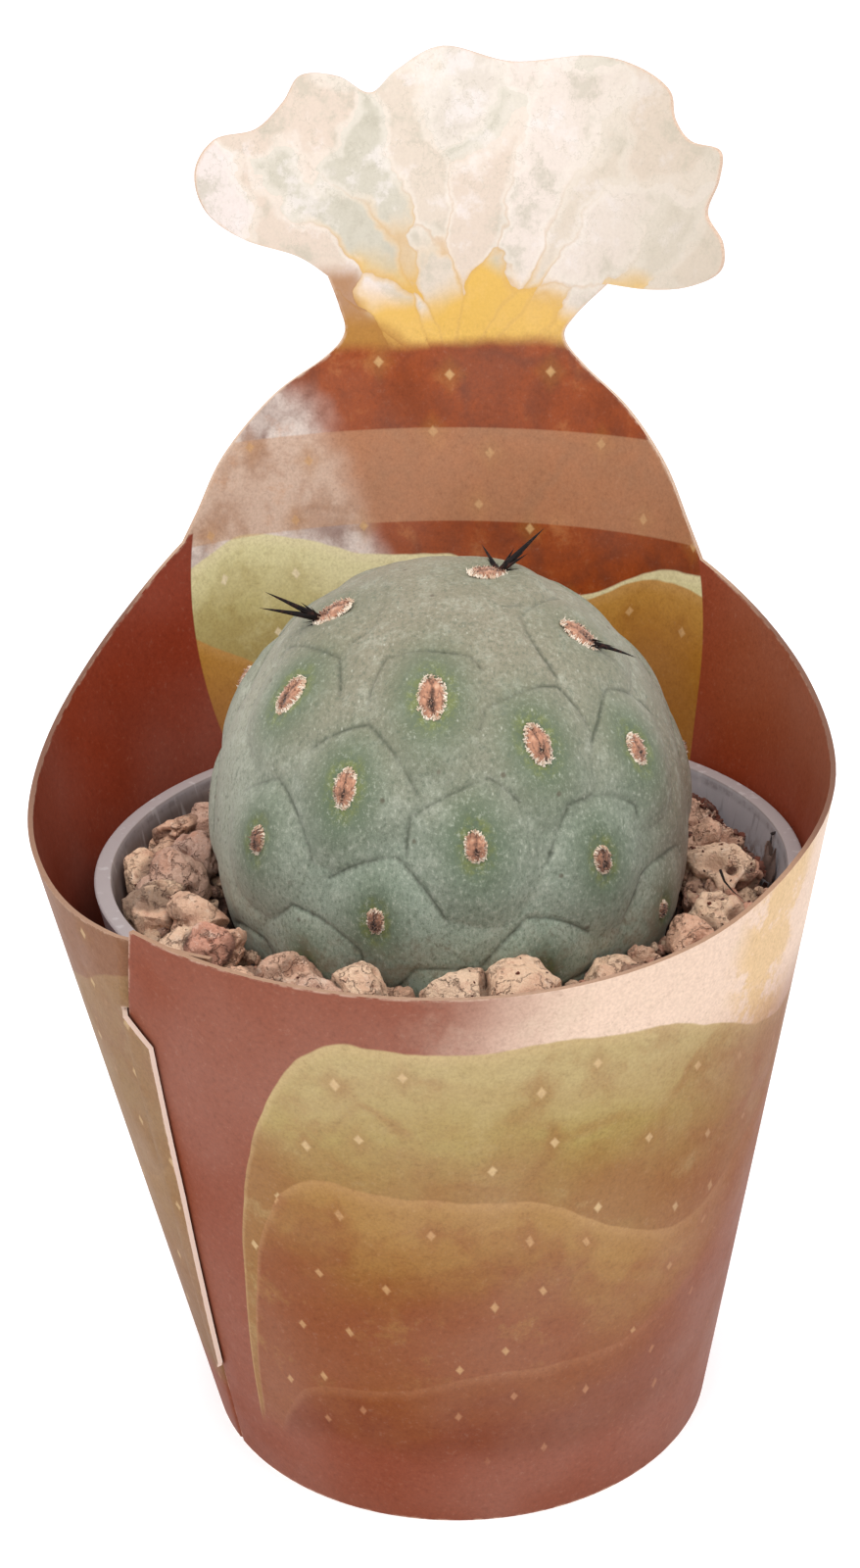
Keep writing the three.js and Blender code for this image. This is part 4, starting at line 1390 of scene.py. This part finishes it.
    def _fields(self, outward: Array) -> dict[str, Array]:
        """Relief and shading values in directions.

        Args:
            outward: Directions from the globe's middle, at length 1.

        Returns:
            Stand-off in millimetres, crease and halo from 0 to 1, and the nearest crease's distance, its
            tubercle and its signed distance.
        """
        count = len(outward)
        groove, line, nearest = (np.full(count, np.inf) for _ in range(3))
        signed, halo, felt = (np.zeros(count) for _ in range(3))
        arc = np.zeros(count, int)
        owned = np.zeros(count, bool)
        for number, areole in enumerate(self.areoles):
            _, down, side = self._axes(areole)
            distance = np.arccos(np.clip(outward @ areole.middle, -1, 1)) * self.mean_radius
            offset = outward - areole.middle
            around = np.arctan2(offset @ side, -(offset @ down))
            gap = distance - self._reach(number, around)
            inside = gap < 0
            fade = 1 - smooth_step((np.cos(around + 0.3 * self.wobble[number, 1]) + 0.3) / 0.8)
            drawn = np.abs(gap) + fade * self.crease_run
            closer = inside | (drawn < line)
            owned |= inside
            groove = np.where(inside, np.abs(gap), np.minimum(groove, np.abs(gap)))
            line = np.where(closer, drawn, line)
            signed = np.where(closer, gap, signed)
            arc = np.where(closer, number, arc)
            nearest = np.minimum(nearest, distance)
            spot = outward - areole.at
            long = (spot @ down) * self.mean_radius
            wide = (spot @ side) * self.mean_radius
            size = self._half_length(areole)
            facing = outward @ areole.at > 0
            spread = np.sqrt((wide / 1.05) ** 2 + (long / 1.5) ** 2) / size
            strength = self.young_halo if areole.order < 3 and areole.order else 1.0
            tint = strength * np.exp(-((spread / self.halo_reach) ** 2.4))
            halo = np.maximum(halo, np.where(facing, tint, 0))
            pad = np.sqrt((wide / self.areole_width) ** 2 + long**2) / size
            felt = np.maximum(felt, np.where(facing, np.exp(-((pad / self.felt_reach) ** 4)), 0))
        crown = np.arccos(np.clip(outward @ self.tip, -1, 1)) * self.mean_radius
        grown = smooth_step((crown - self.bare_tip) / self.bare_tip)
        dome = np.maximum(0, 1 - (nearest / self.tubercle_radius) ** 2)
        swell = np.where(owned, self.tubercle_rise * dome, 0)
        valley = self.valley_depth * np.exp(-((groove / self.valley_width) ** 2))
        crease = np.exp(-((line / self.crease_width) ** 2))
        standoff = grown * (swell - valley - self.crease_depth * crease) - self.felt_depth * felt
        return {
            "standoff": standoff, "crease": crease * (0.3 + 0.7 * grown), "halo": halo,
            "line": line, "arc": arc, "signed": signed,
        }

    def _snap(self, outward: Array) -> Array:
        """Moves the net's points that lie close to a crease onto it."""
        fields = self._fields(outward)
        step = 1.107 * self.mean_radius / self.splits
        close = fields["line"] < 0.5 * step
        middles = np.array([areole.middle for areole in self.areoles])[fields["arc"][close]]
        points = outward[close]
        cosine = np.sum(points * middles, axis=1)
        aside = unit(points - middles * cosine[:, None])
        angle = np.arccos(cosine) - fields["signed"][close] / self.mean_radius
        snapped = outward.copy()
        snapped[close] = middles * np.cos(angle)[:, None] + aside * np.sin(angle)[:, None]
        return snapped

    def skin(self, outward: Array) -> tuple[Array, dict[str, Array]]:
        """Points of the skin in directions from the globe's middle, and their shading values."""
        plain = np.array(self.centre) + outward * self.radii
        fields = self._fields(outward)
        bare = smooth_step((plain[:, 2] - self.soil_top - 1) / 2)
        return plain + outward * (fields["standoff"] * bare)[:, None], fields

    def _build_globe(self) -> bpy.types.Object:
        """The globe's mesh."""
        outward, faces = geodesic(self.splits)
        outward = self._snap(outward)
        points, fields = self.skin(outward)
        waves = noise_at(points, 4.5) * 0.09 + noise_at(points, 1.4, 7.0) * 0.025
        points = points + outward * waves[:, None]
        draft = MeshDraft()
        draft.add(points, [faces], crease=fields["crease"], halo=fields["halo"])
        root, root_faces = lathe(self.root, 24)
        draft.add(root + (self.centre[0], self.centre[1], 0), [root_faces], crease=0.6, halo=0.0)
        return draft.make("cactus_globe", [self.finish.material()])

    def _shown(self) -> list[Areole]:
        """The areoles above the gravel."""
        return [areole for areole in self.areoles if self._foot(areole)[2] > self.gravel_level]

    def _foot(self, areole: Areole) -> Array:
        """The skin's point at an areole."""
        return self.skin(areole.at[None])[0][0]

    def _build_wool(self) -> bpy.types.Object:
        """Felt pads with a fringe of short hairs."""
        draft = MeshDraft()
        dome, dome_faces = geodesic(9)
        for areole in self._shown():
            out, down, side = self._axes(areole)
            foot = self._foot(areole)
            half, wide = self._pad(areole)
            axes = np.stack([side * wide * 0.86, down * half * 0.9, out * 0.36])
            lumps = 1 + 0.16 * noise_at(dome * 3 + areole.order, 0.8)
            split = np.exp(-(((dome[:, 1] - 0.42) / 0.3) ** 2 + (dome[:, 0] / 0.4) ** 2))
            crack = np.exp(-((dome[:, 0] + 0.35 * noise_at(dome + areole.order, 0.7)) / 0.15) ** 2)
            lumps = lumps - 0.3 * split - 0.16 * crack
            spots = dome * 2.4 + areole.order
            mottle = noise_at(spots, 0.8) * 0.16 + noise_at(spots, 0.25) * 0.2
            tone = self._felt_tone(areole) + mottle - 0.5 * split - 0.26 * crack
            draft.add(foot + (dome * lumps[:, None]) @ axes, [dome_faces], tone=tone)
            self._add_hairs(draft, areole, foot)
        return draft.make("areole_wool", [Wool().material()])

    def _felt_tone(self, areole: Areole) -> float:
        """Tone of an areole's felt, darker with age."""
        return 0.46 if areole.order < self.old_from else 0.3

    def _pad(self, areole: Areole) -> tuple[float, float]:
        """Half length and half width of an areole's felt, which gets rounder with age."""
        half = self._half_length(areole)
        share = 0.94 if areole.order < self.round_from else 0.82
        return half * share, half * self.areole_width * 1.12

    def _add_hairs(self, draft: MeshDraft, areole: Areole, foot: Array) -> None:
        """Adds one areole's hairs: a pale fringe that leans over the felt, and short felt inside it."""
        out, down, side = self._axes(areole)
        half, wide = self._pad(areole)
        draws = self.draws
        rim, felt = round(130 * half), round(110 * half)
        phase = areole.order * 1.7

        def both(fringe: tuple[float, float], inside: tuple[float, float]) -> Array:
            """Draws for the fringe and then for the felt."""
            return np.concatenate([draws.uniform(*fringe, rim), draws.uniform(*inside, felt)])

        around = both((0, 2 * math.pi), (0, 2 * math.pi))
        reach = both((0.84, 1.06), (0, 0.72))
        reach[rim:] = np.sqrt(reach[rim:])
        across = (np.sin(around) * reach * wide)[:, None] * side
        along = (np.cos(around) * reach * half)[:, None] * down
        away = unit(np.sin(around)[:, None] * side / wide + np.cos(around)[:, None] * down / half)
        clump = np.sin(3 * around + phase) * 0.5 + np.sin(5 * around + 2.3 * phase) * 0.35
        clump += np.cos(around) * 0.3
        reach *= 1 + 0.05 * clump
        splay = both((-1.3, -0.1), (-0.5, 0.5))
        aim = unit(out + away * splay[:, None] + draws.normal(0, 0.22, (rim + felt, 3)))
        length = both((0.16, 0.4), (0.16, 0.36))
        girth = both((0.05, 0.1), (0.035, 0.065))
        lift = 0.26 * (1 - np.minimum(reach, 1) ** 2)
        feet = foot + across + along + out * (lift - 0.05)[:, None]
        base = self._felt_tone(areole)
        rim_tone = 0.96 if base > 0.4 else 0.88
        tone = both((-0.22, 0.1), (-0.3, 0.15)) + np.repeat([rim_tone, base], [rim, felt]) + clump * 0.16
        bend = draws.normal(0, 0.07, (rim + felt, 3))
        draft.add_spikes(feet, aim, length, girth, bend, 3, "tone", (tone, tone))

    def _build_spines(self) -> bpy.types.Object:
        """Dark spines at the outer ends of the upper areoles, with a few bristles at their feet."""
        draft = MeshDraft()
        draws = self.draws
        splinters, bristles = 7, 12
        spines = self._spines()
        for areole in self.areoles:
            if areole.order not in spines:
                continue
            out, down, side = self._axes(areole)
            foot = self._foot(areole) + down * self._half_length(areole) * 0.55
            for length, aside, lift in spines[areole.order]:
                aim = unit(down + out * lift + side * aside)
                girth = self.spine_taper * length
                bend = -out * 0.12 * length * 0.5 + side * draws.uniform(-0.2, 0.2)
                draft.add_spikes(
                    (foot - aim * 0.3)[None], aim[None], np.array([length + 0.3]), np.array([girth]),
                    bend[None], 12, "share", (0.0, 1.0))
                feet = foot + aim * length * draws.uniform(-0.06, 0.08, (splinters, 1))
                aims = unit(aim + draws.normal(0, 0.12, (splinters, 3)))
                draft.add_spikes(
                    feet, aims, length * draws.uniform(0.2, 0.5, splinters), np.full(splinters, girth * 0.6),
                    np.zeros((splinters, 3)), 5, "share", (0.0, 0.3))
            aims = unit(down * 0.8 + out * 0.6 + draws.normal(0, 0.35, (bristles, 3)))
            feet = foot + draws.normal(0, 0.14, (bristles, 3)) - out * 0.1
            lengths, girths = draws.uniform(0.6, 1.5, bristles), draws.uniform(0.05, 0.1, bristles)
            draft.add_spikes(
                feet, aims, lengths, girths, draws.normal(0, 0.1, (bristles, 3)), 4, "share", (0.1, 0.4))
        return draft.make("spines", [Thorn().material()])

    def dress(self) -> None:
        """Builds the plant and ties it to the object."""
        place_piece(self._build_globe(), Slot.SKIN, "cactus")
        place_piece(self._build_wool(), Slot.SKIN)
        place_piece(self._build_spines(), Slot.SKIN)


# ---- soil and gravel


@dataclass
class StoneRow:
    """A ring of stones."""

    radius: float
    count: int
    level: float
    size: float


@dataclass
class GravelDressing:
    """Porous stones round the plant, on a bed of crumbs, all inside the pot."""

    cactus: GlobeCactus
    sizes: PotSizes = PotSizes()
    seed: int = 20417
    bed_top: float = 43.2
    bottom: float = 39.9
    heap_rise: float = 0.8
    heap_turn: float = -50.0  # degrees from the front; below 0 is to the left
    wall_gap: float = 0.35
    plant_gap: float = 0.35
    stone_splits: int = 16
    stone_growth: float = 1.06  # makes up for what the breaks take off
    seam_reach: float = 1.14  # of a stone's half width, from its middle
    seam_fade: float = 0.24
    bed_gap: float = 0.32  # darkening all over the pebbles and the grit, in the seams' colour
    small_seam: float = 0.4  # dirt on the pebbles and the grit
    pebbles: int = 200
    grit: int = 700
    bed_turns: int = 260
    bed_rings: int = 26
    bed_sharp: float = 50.0

    @staticmethod
    def _rows() -> list[StoneRow]:
        """The rings of large stones."""
        return [
            StoneRow(21.2, 21, 45.0, 2.55), StoneRow(23.7, 19, 44.8, 2.25), StoneRow(22.9, 9, 45.6, 1.75),
        ]

    def _plant_radius(self, level: float) -> float:
        """The globe's radius at a level."""
        rise = (level - self.cactus.centre[2]) / self.cactus.half_height
        return self.cactus.radius * math.sqrt(1 - rise * rise)

    def _fit(self, points: Array) -> Array:
        """Moves points out of the plant and in from the pot's wall."""
        middle = np.array(self.cactus.centre)
        room = self.cactus.radii + self.plant_gap
        inside = np.linalg.norm((points - middle) / room, axis=1)
        inside = np.maximum(inside, 0.5)
        pushed = middle + (points - middle) / np.minimum(inside, 1)[:, None]
        limit = self.sizes.inside(pushed[:, 2]) - self.wall_gap
        radius = np.linalg.norm(pushed[:, :2], axis=1)
        pushed[:, :2] *= np.minimum(1, limit / radius)[:, None]
        return pushed

    @staticmethod
    def _weather(
        points: Array, outward: Array, size: float, random: np.random.Generator
    ) -> tuple[Array, Array]:
        """Makes a smooth lump a porous stone.

        Args:
            points: The lump's points round its middle.
            outward: Their directions.
            size: Half width of the stone.
            random: Seeded draws.

        Returns:
            The new points and how deep each lies in a pit.
        """
        points = break_off(points, size, 8, (0.62, 0.95), 0.95, random)
        shift = random.uniform(0, 90)
        rough = noise_at(points, size * 0.7, shift) * 0.1 + noise_at(points, size * 0.22, shift) * 0.06
        large, small = 8, 12
        pits = unit(random.normal(0, 1, (large + small, 3)))
        widths = np.concatenate([random.uniform(0.18, 0.38, large), random.uniform(0.08, 0.14, small)])
        depths = np.concatenate([random.uniform(0.16, 0.32, large), random.uniform(0.05, 0.1, small)])
        near = np.arccos(np.clip(outward @ pits.T, -1, 1)) / widths
        near *= (1 + 0.5 * noise_at(points, size * 0.4, shift + 5))[:, None]
        hollow = np.exp(-(near**4))
        depth = (hollow * depths).max(axis=1)
        return points + outward * ((rough - depth) * size)[:, None], hollow.max(axis=1)

    def _stones(self) -> list[MeshDraft]:
        """The large stones by ring, each in the same place as in the solids."""
        draw = seeded_draws(self.seed)
        random = np.random.default_rng(self.seed)
        outward, faces = geodesic(self.stone_splits)
        drafts = [MeshDraft() for _ in self._rows()]
        stones = []
        for row, draft in zip(self._rows(), drafts):
            for index in range(row.count):
                turn = (index + 0.6 * (draw() - 0.5)) / row.count * 2 * math.pi
                radius = row.radius + 1.1 * (draw() - 0.5)
                heap = self.heap_rise * math.cos(turn - math.radians(self.heap_turn))
                level = row.level + heap + 1.3 * (draw() - 0.5)
                size = row.size * (0.78 + 0.44 * draw())
                stretch = np.array([0.85 + 0.4 * draw(), 0.8 + 0.35 * draw(), 0.65 + 0.3 * draw()])
                lie = [0.9 * (draw() - 0.5), 0.9 * (draw() - 0.5), 2 * math.pi * draw()]
                swell = np.ones(len(outward))
                for wave in range(3):
                    toward = unit(np.array([draw() - 0.5, draw() - 0.5, draw() - 0.5]))
                    swell += 0.11 * np.sin((2 + 1.4 * wave) * (outward @ toward) + 2 * math.pi * draw())
                spin = turn_matrix(0, lie[0]) @ turn_matrix(1, lie[1]) @ turn_matrix(2, lie[2])
                lump = outward * stretch * (self.stone_growth * size * swell)[:, None]
                lump, pit = self._weather(lump, outward, self.stone_growth * size, random)
                place = (*from_front(turn, radius), level)
                points = self._fit(lump @ spin.T + place)
                stones.append((draft, points, pit, random.uniform(0, 1), (*place, size)))
        for number, (draft, points, pit, tone, _) in enumerate(stones):
            others = np.array([stone[-1] for stone in stones[:number] + stones[number + 1:]])
            apart = np.linalg.norm(points[:, None] - others[:, :3], axis=2) / others[:, 3]
            # seam: painted shade where a stone comes close to another one
            seam = smooth_step((self.seam_reach - apart.min(axis=1)) / self.seam_fade)
            draft.add(points, [faces], tone=tone, pit=pit, seam=seam)
        return drafts

    def _scatter(
        self, count: int, sizes: tuple[float, float], splits: int, heights: tuple[float, float]
    ) -> MeshDraft:
        """Small stones at random between the plant and the wall.

        Args:
            count: Number of stones.
            sizes: Least and greatest half width.
            splits: Fineness of each one.
            heights: Lowest and highest level.

        Returns:
            The draft that holds them.
        """
        random = np.random.default_rng(self.seed + count)
        outward, faces = geodesic(splits)
        draft = MeshDraft()
        for _ in range(count):
            turn = random.uniform(0, 2 * math.pi)
            level = random.uniform(*heights)
            size = random.uniform(*sizes)
            inner = self._plant_radius(level) + self.plant_gap + size
            outer = float(self.sizes.inside(level)) - self.wall_gap - size
            radius = inner + max(0.0, outer - inner) * random.uniform(0, 1) ** 1.5
            shift = random.uniform(0, 90)
            swell = 1 + 0.3 * noise_at(outward * 1.4, 1.0, shift) + 0.2 * noise_at(outward * 1.4, 0.4, shift)
            lump = outward * random.uniform(0.7, 1.2, 3) * (size * swell)[:, None]
            lump = break_off(lump, size, 5, (0.45, 0.85), 0.9, random)
            points = self._fit(lump + (*from_front(turn, radius), level))
            draft.add(points, [faces], tone=random.uniform(0, 1), pit=0.0, seam=self.small_seam)
        return draft

    def _bed(self) -> MeshDraft:
        """The bed of crumbs that the stones lie in."""
        turns, rings = self.bed_turns, self.bed_rings
        around = np.arange(turns) * 2 * math.pi / turns
        circle = np.stack([np.cos(around), np.sin(around), np.zeros(turns)], axis=1)
        inner = self._plant_radius(self.bed_top) + self.bed_gap
        outer = float(self.sizes.inside(self.bed_top)) - self.wall_gap
        radii = inner + (outer - inner) * np.arange(rings) / (rings - 1)
        top = np.concatenate([radius * circle for radius in radii]) + (0, 0, self.bed_top)
        top[:, 2] += noise_at(top, 1.5, 3.0) * 0.5 + noise_at(top, 0.6, 9.0) * 0.25
        low_outer = float(self.sizes.inside(self.bottom)) - self.wall_gap
        low_inner = self._plant_radius(self.bottom) + self.bed_gap + 0.08
        under = np.concatenate([low_outer * circle, low_inner * circle]) + (0, 0, self.bottom)
        faces = np.roll(ring_net(rings + 2, turns, True)[:, ::-1], 1, axis=1)
        draft = MeshDraft()
        draft.add(self._fit(np.concatenate([top, under])), [faces])
        return draft

    def dress(self) -> None:
        """Builds the gravel and ties it to the object."""
        stone = Pumice().material()
        drafts = dict(zip(("gravel_ring", "gravel_wall_ring", "gravel_upper_ring"), self._stones()))
        drafts["gravel_pebbles"] = self._scatter(self.pebbles, (0.6, 1.4), 7, (43.2, 44.8))
        drafts["gravel_grit"] = self._scatter(self.grit, (0.22, 0.6), 3, (43.2, 44.9))
        for name, draft in drafts.items():
            replaced = ["gravel"] if name == "gravel_ring" else []
            place_piece(draft.make(name, [stone]), Slot.GRAVEL, *replaced)
        drafts["gravel_bed"] = self._bed()
        crumbs = PeatSoil(dark=rgb(66, 42, 32), light=rgb(132, 88, 66))
        bed = drafts["gravel_bed"].make("gravel_bed", [crumbs.material("crumb_bed")], self.bed_sharp)
        place_piece(bed, Slot.GRAVEL)
        self.top = surface_tree(list(drafts.values()))


@dataclass
class CrumbHeap:
    """Crumbs at random round a place."""

    turn: float  # degrees from the front to the right
    spread: float  # degrees
    radius: float
    depth: float
    count: int
    coarse: float  # greatest half width


@dataclass
class PlantLitter:
    """Crumbs, dry fibres, a fallen spine and a curled husk that lie on the gravel."""

    gravel: GravelDressing
    seed: int = 5077
    drop_from: float = 52.0
    highest: float = 48.6  # for a crumb, so that none lies on the plant
    bare_level: float = 44.0  # where nothing lies below
    fibres: int = 46
    reach: float = 24.8  # from the pot's middle
    husk_turn: float = 92.0
    husk_rows: int = 14
    husk_columns: int = 15
    husk_thickness: float = 0.13
    sharp: float = 50.0

    def _rest(self, across: float, along: float) -> float | None:
        """Height of the gravel's surface at a place, or nothing where there is none."""
        spot = self.gravel.top.ray_cast(Vector((across, along, self.drop_from)), Vector((0, 0, -1)))[0]
        return None if spot is None else spot.z

    @staticmethod
    def _heaps() -> tuple[CrumbHeap, ...]:
        """The heaps: by the wall at the right, along the plant's foot, and a few crumbs all round."""
        return (
            CrumbHeap(108.0, 30.0, 24.3, 1.9, 420, 0.3),
            CrumbHeap(150.0, 60.0, 19.3, 1.2, 150, 0.25),
            CrumbHeap(0.0, 400.0, 22.0, 5.0, 90, 0.13),
        )

    def _crumbs(self) -> MeshDraft:
        """Small dark crumbs."""
        random = np.random.default_rng(self.seed)
        outward, faces = geodesic(2)
        cactus = self.gravel.cactus
        draft = MeshDraft()
        for heap in self._heaps():
            for _ in range(heap.count):
                turn = math.radians(heap.turn + random.normal(0, 1) * heap.spread * 0.5)
                radius = heap.radius + heap.depth * random.uniform(-0.5, 0.5)
                across, along = from_front(turn, radius)
                level = self._rest(across, along)
                if level is None or level > self.highest:
                    continue
                size = random.uniform(heap.coarse / 3, heap.coarse)
                swell = random.uniform(0.6, 1.3, (len(outward), 1))
                spin = turn_matrix(2, random.uniform(0, 6)) @ turn_matrix(0, random.uniform(0, 3))
                lump = (outward * swell * size * random.uniform(0.4, 1.4, 3)) @ spin.T
                points = lump + (across, along, level + size * 0.3)
                offset = (points - np.array(cactus.centre)) / (cactus.radii + 0.2)
                inside = np.linalg.norm(offset, axis=1).min()
                wall = np.linalg.norm(points[:, :2], axis=1) - self.gravel.sizes.inside(points[:, 2])
                if inside > 1 and wall.max() < -0.1:
                    draft.add(points, [faces], tone=random.uniform(-0.1, 0.4))
        return draft

    def _fibres(self, draft: MeshDraft) -> None:
        """Adds short dry fibres, and one dead spine, across the stones."""
        random = np.random.default_rng(self.seed + 1)
        turns = np.radians(random.uniform(70, 150, self.fibres))
        radii = random.uniform(20.5, 24.6, self.fibres)
        lines, girths = [], []
        for turn, radius in zip(turns, radii):
            start = np.array(from_front(turn, radius))
            heading = random.uniform(0, 2 * math.pi)
            length = random.uniform(0.8, 2.2)
            end = start + length * np.array([math.cos(heading), math.sin(heading)])
            line = [(*spot, (self._rest(*spot) or self.bare_level) + 0.08) for spot in (start, end)]
            if np.linalg.norm(end) < self.reach and abs(line[0][2] - line[1][2]) < 1.2:
                lines.append(line)
                girths.append(random.uniform(0.04, 0.08))
        path = np.linspace((20.6, -4.6), (20.4, -9.2), 9)
        top = max(self._rest(*spot) or self.bare_level for spot in path) + 0.12
        lines.append([(*path[0], top), (*path[-1], top - 0.5)])
        girths.append(0.12)
        feet, ends = np.array(lines).transpose(1, 0, 2)
        bend = random.normal(0, 0.15, (len(lines), 3))
        bend[-1] = (1.5, 0, 0.1)
        tone = np.full(len(lines), 0.1)
        tone[-1] = 1.0
        lengths = np.linalg.norm(ends - feet, axis=1)
        draft.add_spikes(feet, unit(ends - feet), lengths, np.array(girths), bend, 6, "tone", (tone, tone))

    def _husk_sheet(self, inset: float) -> Array:
        """Points of one face of the husk, row by row from its foot, and so far inside the outer face.

        The husk is curled to half a tube and leans on the pot's inner wall.
        """
        turn = math.radians(self.husk_turn)
        out = np.array([*from_front(turn, 1.0), 0.0])
        aside = np.array([math.cos(turn), math.sin(turn), 0.0])
        up, curl = (grid.reshape(-1, 1) for grid in np.meshgrid(
            np.linspace(0, 1, self.husk_rows), np.linspace(-2.0, 2.0, self.husk_columns), indexing="ij"))
        girth = 0.55 + 0.42 * up - 0.3 * up * up + 0.13 * np.sin(3 * curl + 5 * up) - inset
        height = 44.3 + 2.3 * up + 0.35 * up * np.cos(4 * curl + 1)
        lean = 25.1 + 0.35 * up - 0.85 * girth * np.cos(curl)
        spread = 1.3 * girth * np.sin(curl) + 0.5 * up
        return out * lean + aside * spread + np.array([0.0, 0.0, 1.0]) * height

    def _husk(self, draft: MeshDraft) -> None:
        """Adds the curled husk, with a hooked thread from it across the pot's rim."""
        sheets = np.concatenate([self._husk_sheet(0.0), self._husk_sheet(self.husk_thickness)])
        grid = np.arange(self.husk_rows * self.husk_columns).reshape(self.husk_rows, self.husk_columns)
        corners = [grid[:-1, :-1], grid[:-1, 1:], grid[1:, 1:], grid[1:, :-1]]
        cells = np.stack(corners, axis=-1).reshape(-1, 4)
        loop = np.concatenate([grid[0, :-1], grid[:-1, -1], grid[-1, :0:-1], grid[:0:-1, 0]])
        after = np.roll(loop, -1)
        wall = np.stack([loop, loop + grid.size, after + grid.size, after], axis=-1)
        draft.add(sheets, [cells, cells[:, ::-1] + grid.size, wall], tone=0.5)
        feet = np.array([(25.4, 2.6, 45.9), (25.5, 3.0, 47.1)])
        aims = unit(np.array([(0.1, 0.25, 1.0), (1.0, 0.05, 0.42)]))
        bend = np.array([(0.1, 0.1, 0.0), (0.1, 0.3, -0.3)])
        draft.add_spikes(feet, aims, np.array([1.5, 2.0]), np.full(2, 0.13), bend, 6, "tone", (0.95, 0.95))

    def dress(self) -> None:
        """Builds the litter and ties it to the object."""
        draft = self._crumbs()
        self._fibres(draft)
        self._husk(draft)
        place_piece(draft.make("dry_litter", [DryLitter().material()], self.sharp), Slot.SOIL)


@dataclass
class SoilFill:
    """The potting soil, whose solid stays and gets its finish here."""

    finish: PeatSoil = PeatSoil()

    def dress(self) -> None:
        """Puts the finish on the soil's solid."""
        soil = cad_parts["soil"]
        soil.data.materials.clear()
        soil.data.materials.append(self.finish.material("potting_soil_crumbs"))
        LOG.info("%s: finish on the solid", soil.name)


# ---- studio


@dataclass
class Studio:
    """Camera at the photograph's viewing angle, soft lights and a pale floor."""

    camera_place: tuple[float, float, float] = (0.0, -161.3, 120.22)
    pitch: float = 0.393  # radians, as are the roll and the yaw
    roll: float = -0.027
    yaw: float = -0.008
    focal_share: float = 2319.4 / 1600  # focal length over the picture's long side
    sensor: float = 36.0
    aim: tuple[float, float, float] = (0.0, 0.0, 0.045)  # metres, where the lights point
    floor_reach: float = 6000.0
    floor_level: float = -0.05  # just under the object
    floor_sides: int = 64
    floor_glow: float = 0.32

    def _camera(self) -> None:
        """Makes the camera."""
        ahead = math.cos(self.pitch)
        forward = Vector((math.sin(self.yaw) * ahead, math.cos(self.yaw) * ahead, -math.sin(self.pitch)))
        right = forward.cross(Vector((0, 0, 1))).normalized()
        upward = right.cross(forward)
        level, tilt = math.cos(self.roll), math.sin(self.roll)
        axes = Matrix((level * right + tilt * upward, level * upward - tilt * right, -forward)).transposed()
        data = bpy.data.cameras.new("photo_camera")
        data.sensor_width = self.sensor
        data.lens = self.focal_share * self.sensor
        data.clip_start = 0.005
        data.clip_end = 50
        camera = bpy.data.objects.new("photo_camera", data)
        camera.matrix_world = Matrix.Translation(Vector(self.camera_place) * MM) @ axes.to_4x4()
        bpy.context.scene.collection.objects.link(camera)
        bpy.context.scene.camera = camera

    def _light(
        self, name: str, place: tuple[float, float, float], size: float, power: float, colour: Colour
    ) -> None:
        """Adds a soft square light that faces the plant, in metres and watts."""
        data = bpy.data.lights.new(name, "AREA")
        data.size = size
        data.energy = power
        data.color = colour[:3]
        light = bpy.data.objects.new(name, data)
        light.location = place
        light.rotation_mode = "QUATERNION"
        light.rotation_quaternion = (Vector(self.aim) - Vector(place)).to_track_quat("-Z", "Y")
        bpy.context.scene.collection.objects.link(light)

    def _floor(self) -> None:
        """Makes the pale floor."""
        shader = Shader("pale_floor")
        cloud = shader.noise(90, 2)
        colour = shader.mix(cloud.rise(0.3, 0.7) * 0.3, rgb(246, 245, 247), rgb(242, 241, 243))
        material = shader.done(
            colour, 0.75, None, Specular_IOR_Level=0.2,
            Emission_Color=rgb(255, 255, 255), Emission_Strength=self.floor_glow)
        rings = [(self.floor_reach, self.floor_level), (0.5, self.floor_level)]
        points, faces = lathe(rings, self.floor_sides)
        draft = MeshDraft()
        draft.add(points, [faces, np.arange(self.floor_sides, 2 * self.floor_sides)[None]])
        draft.make("studio_floor", [material])

    def dress(self) -> None:
        """Makes camera, lights, world and floor."""
        self._camera()
        self._light("key_light", (-0.15, -0.19, 0.56), 0.30, 1.1, rgb(255, 251, 246))
        self._light("side_light", (0.19, -0.14, 0.54), 0.28, 0.75, rgb(255, 252, 248))
        self._light("front_light", (0.02, -0.56, 0.24), 0.40, 0.4, rgb(252, 252, 255))
        scene = bpy.context.scene
        scene.view_settings.view_transform = "Standard"
        world = bpy.data.worlds.new("studio_world")
        world.use_nodes = True
        background = world.node_tree.nodes["Background"]
        background.inputs["Color"].default_value = rgb(252, 252, 254)
        background.inputs["Strength"].default_value = 0.92
        scene.world = world
        self._floor()
        LOG.info("studio: camera, three lights, world and floor")


# ---- the whole object


def main() -> None:
    """Builds every sub-assembly in order."""
    logging.basicConfig(level=logging.INFO, format="%(name)s %(message)s")
    Studio().dress()
    CardSleeve().dress()
    NurseryPot().dress()
    SoilFill().dress()
    cactus = GlobeCactus()
    cactus.dress()
    gravel = GravelDressing(cactus)
    gravel.dress()
    PlantLitter(gravel).dress()


if __name__ == "__main__":
    main()
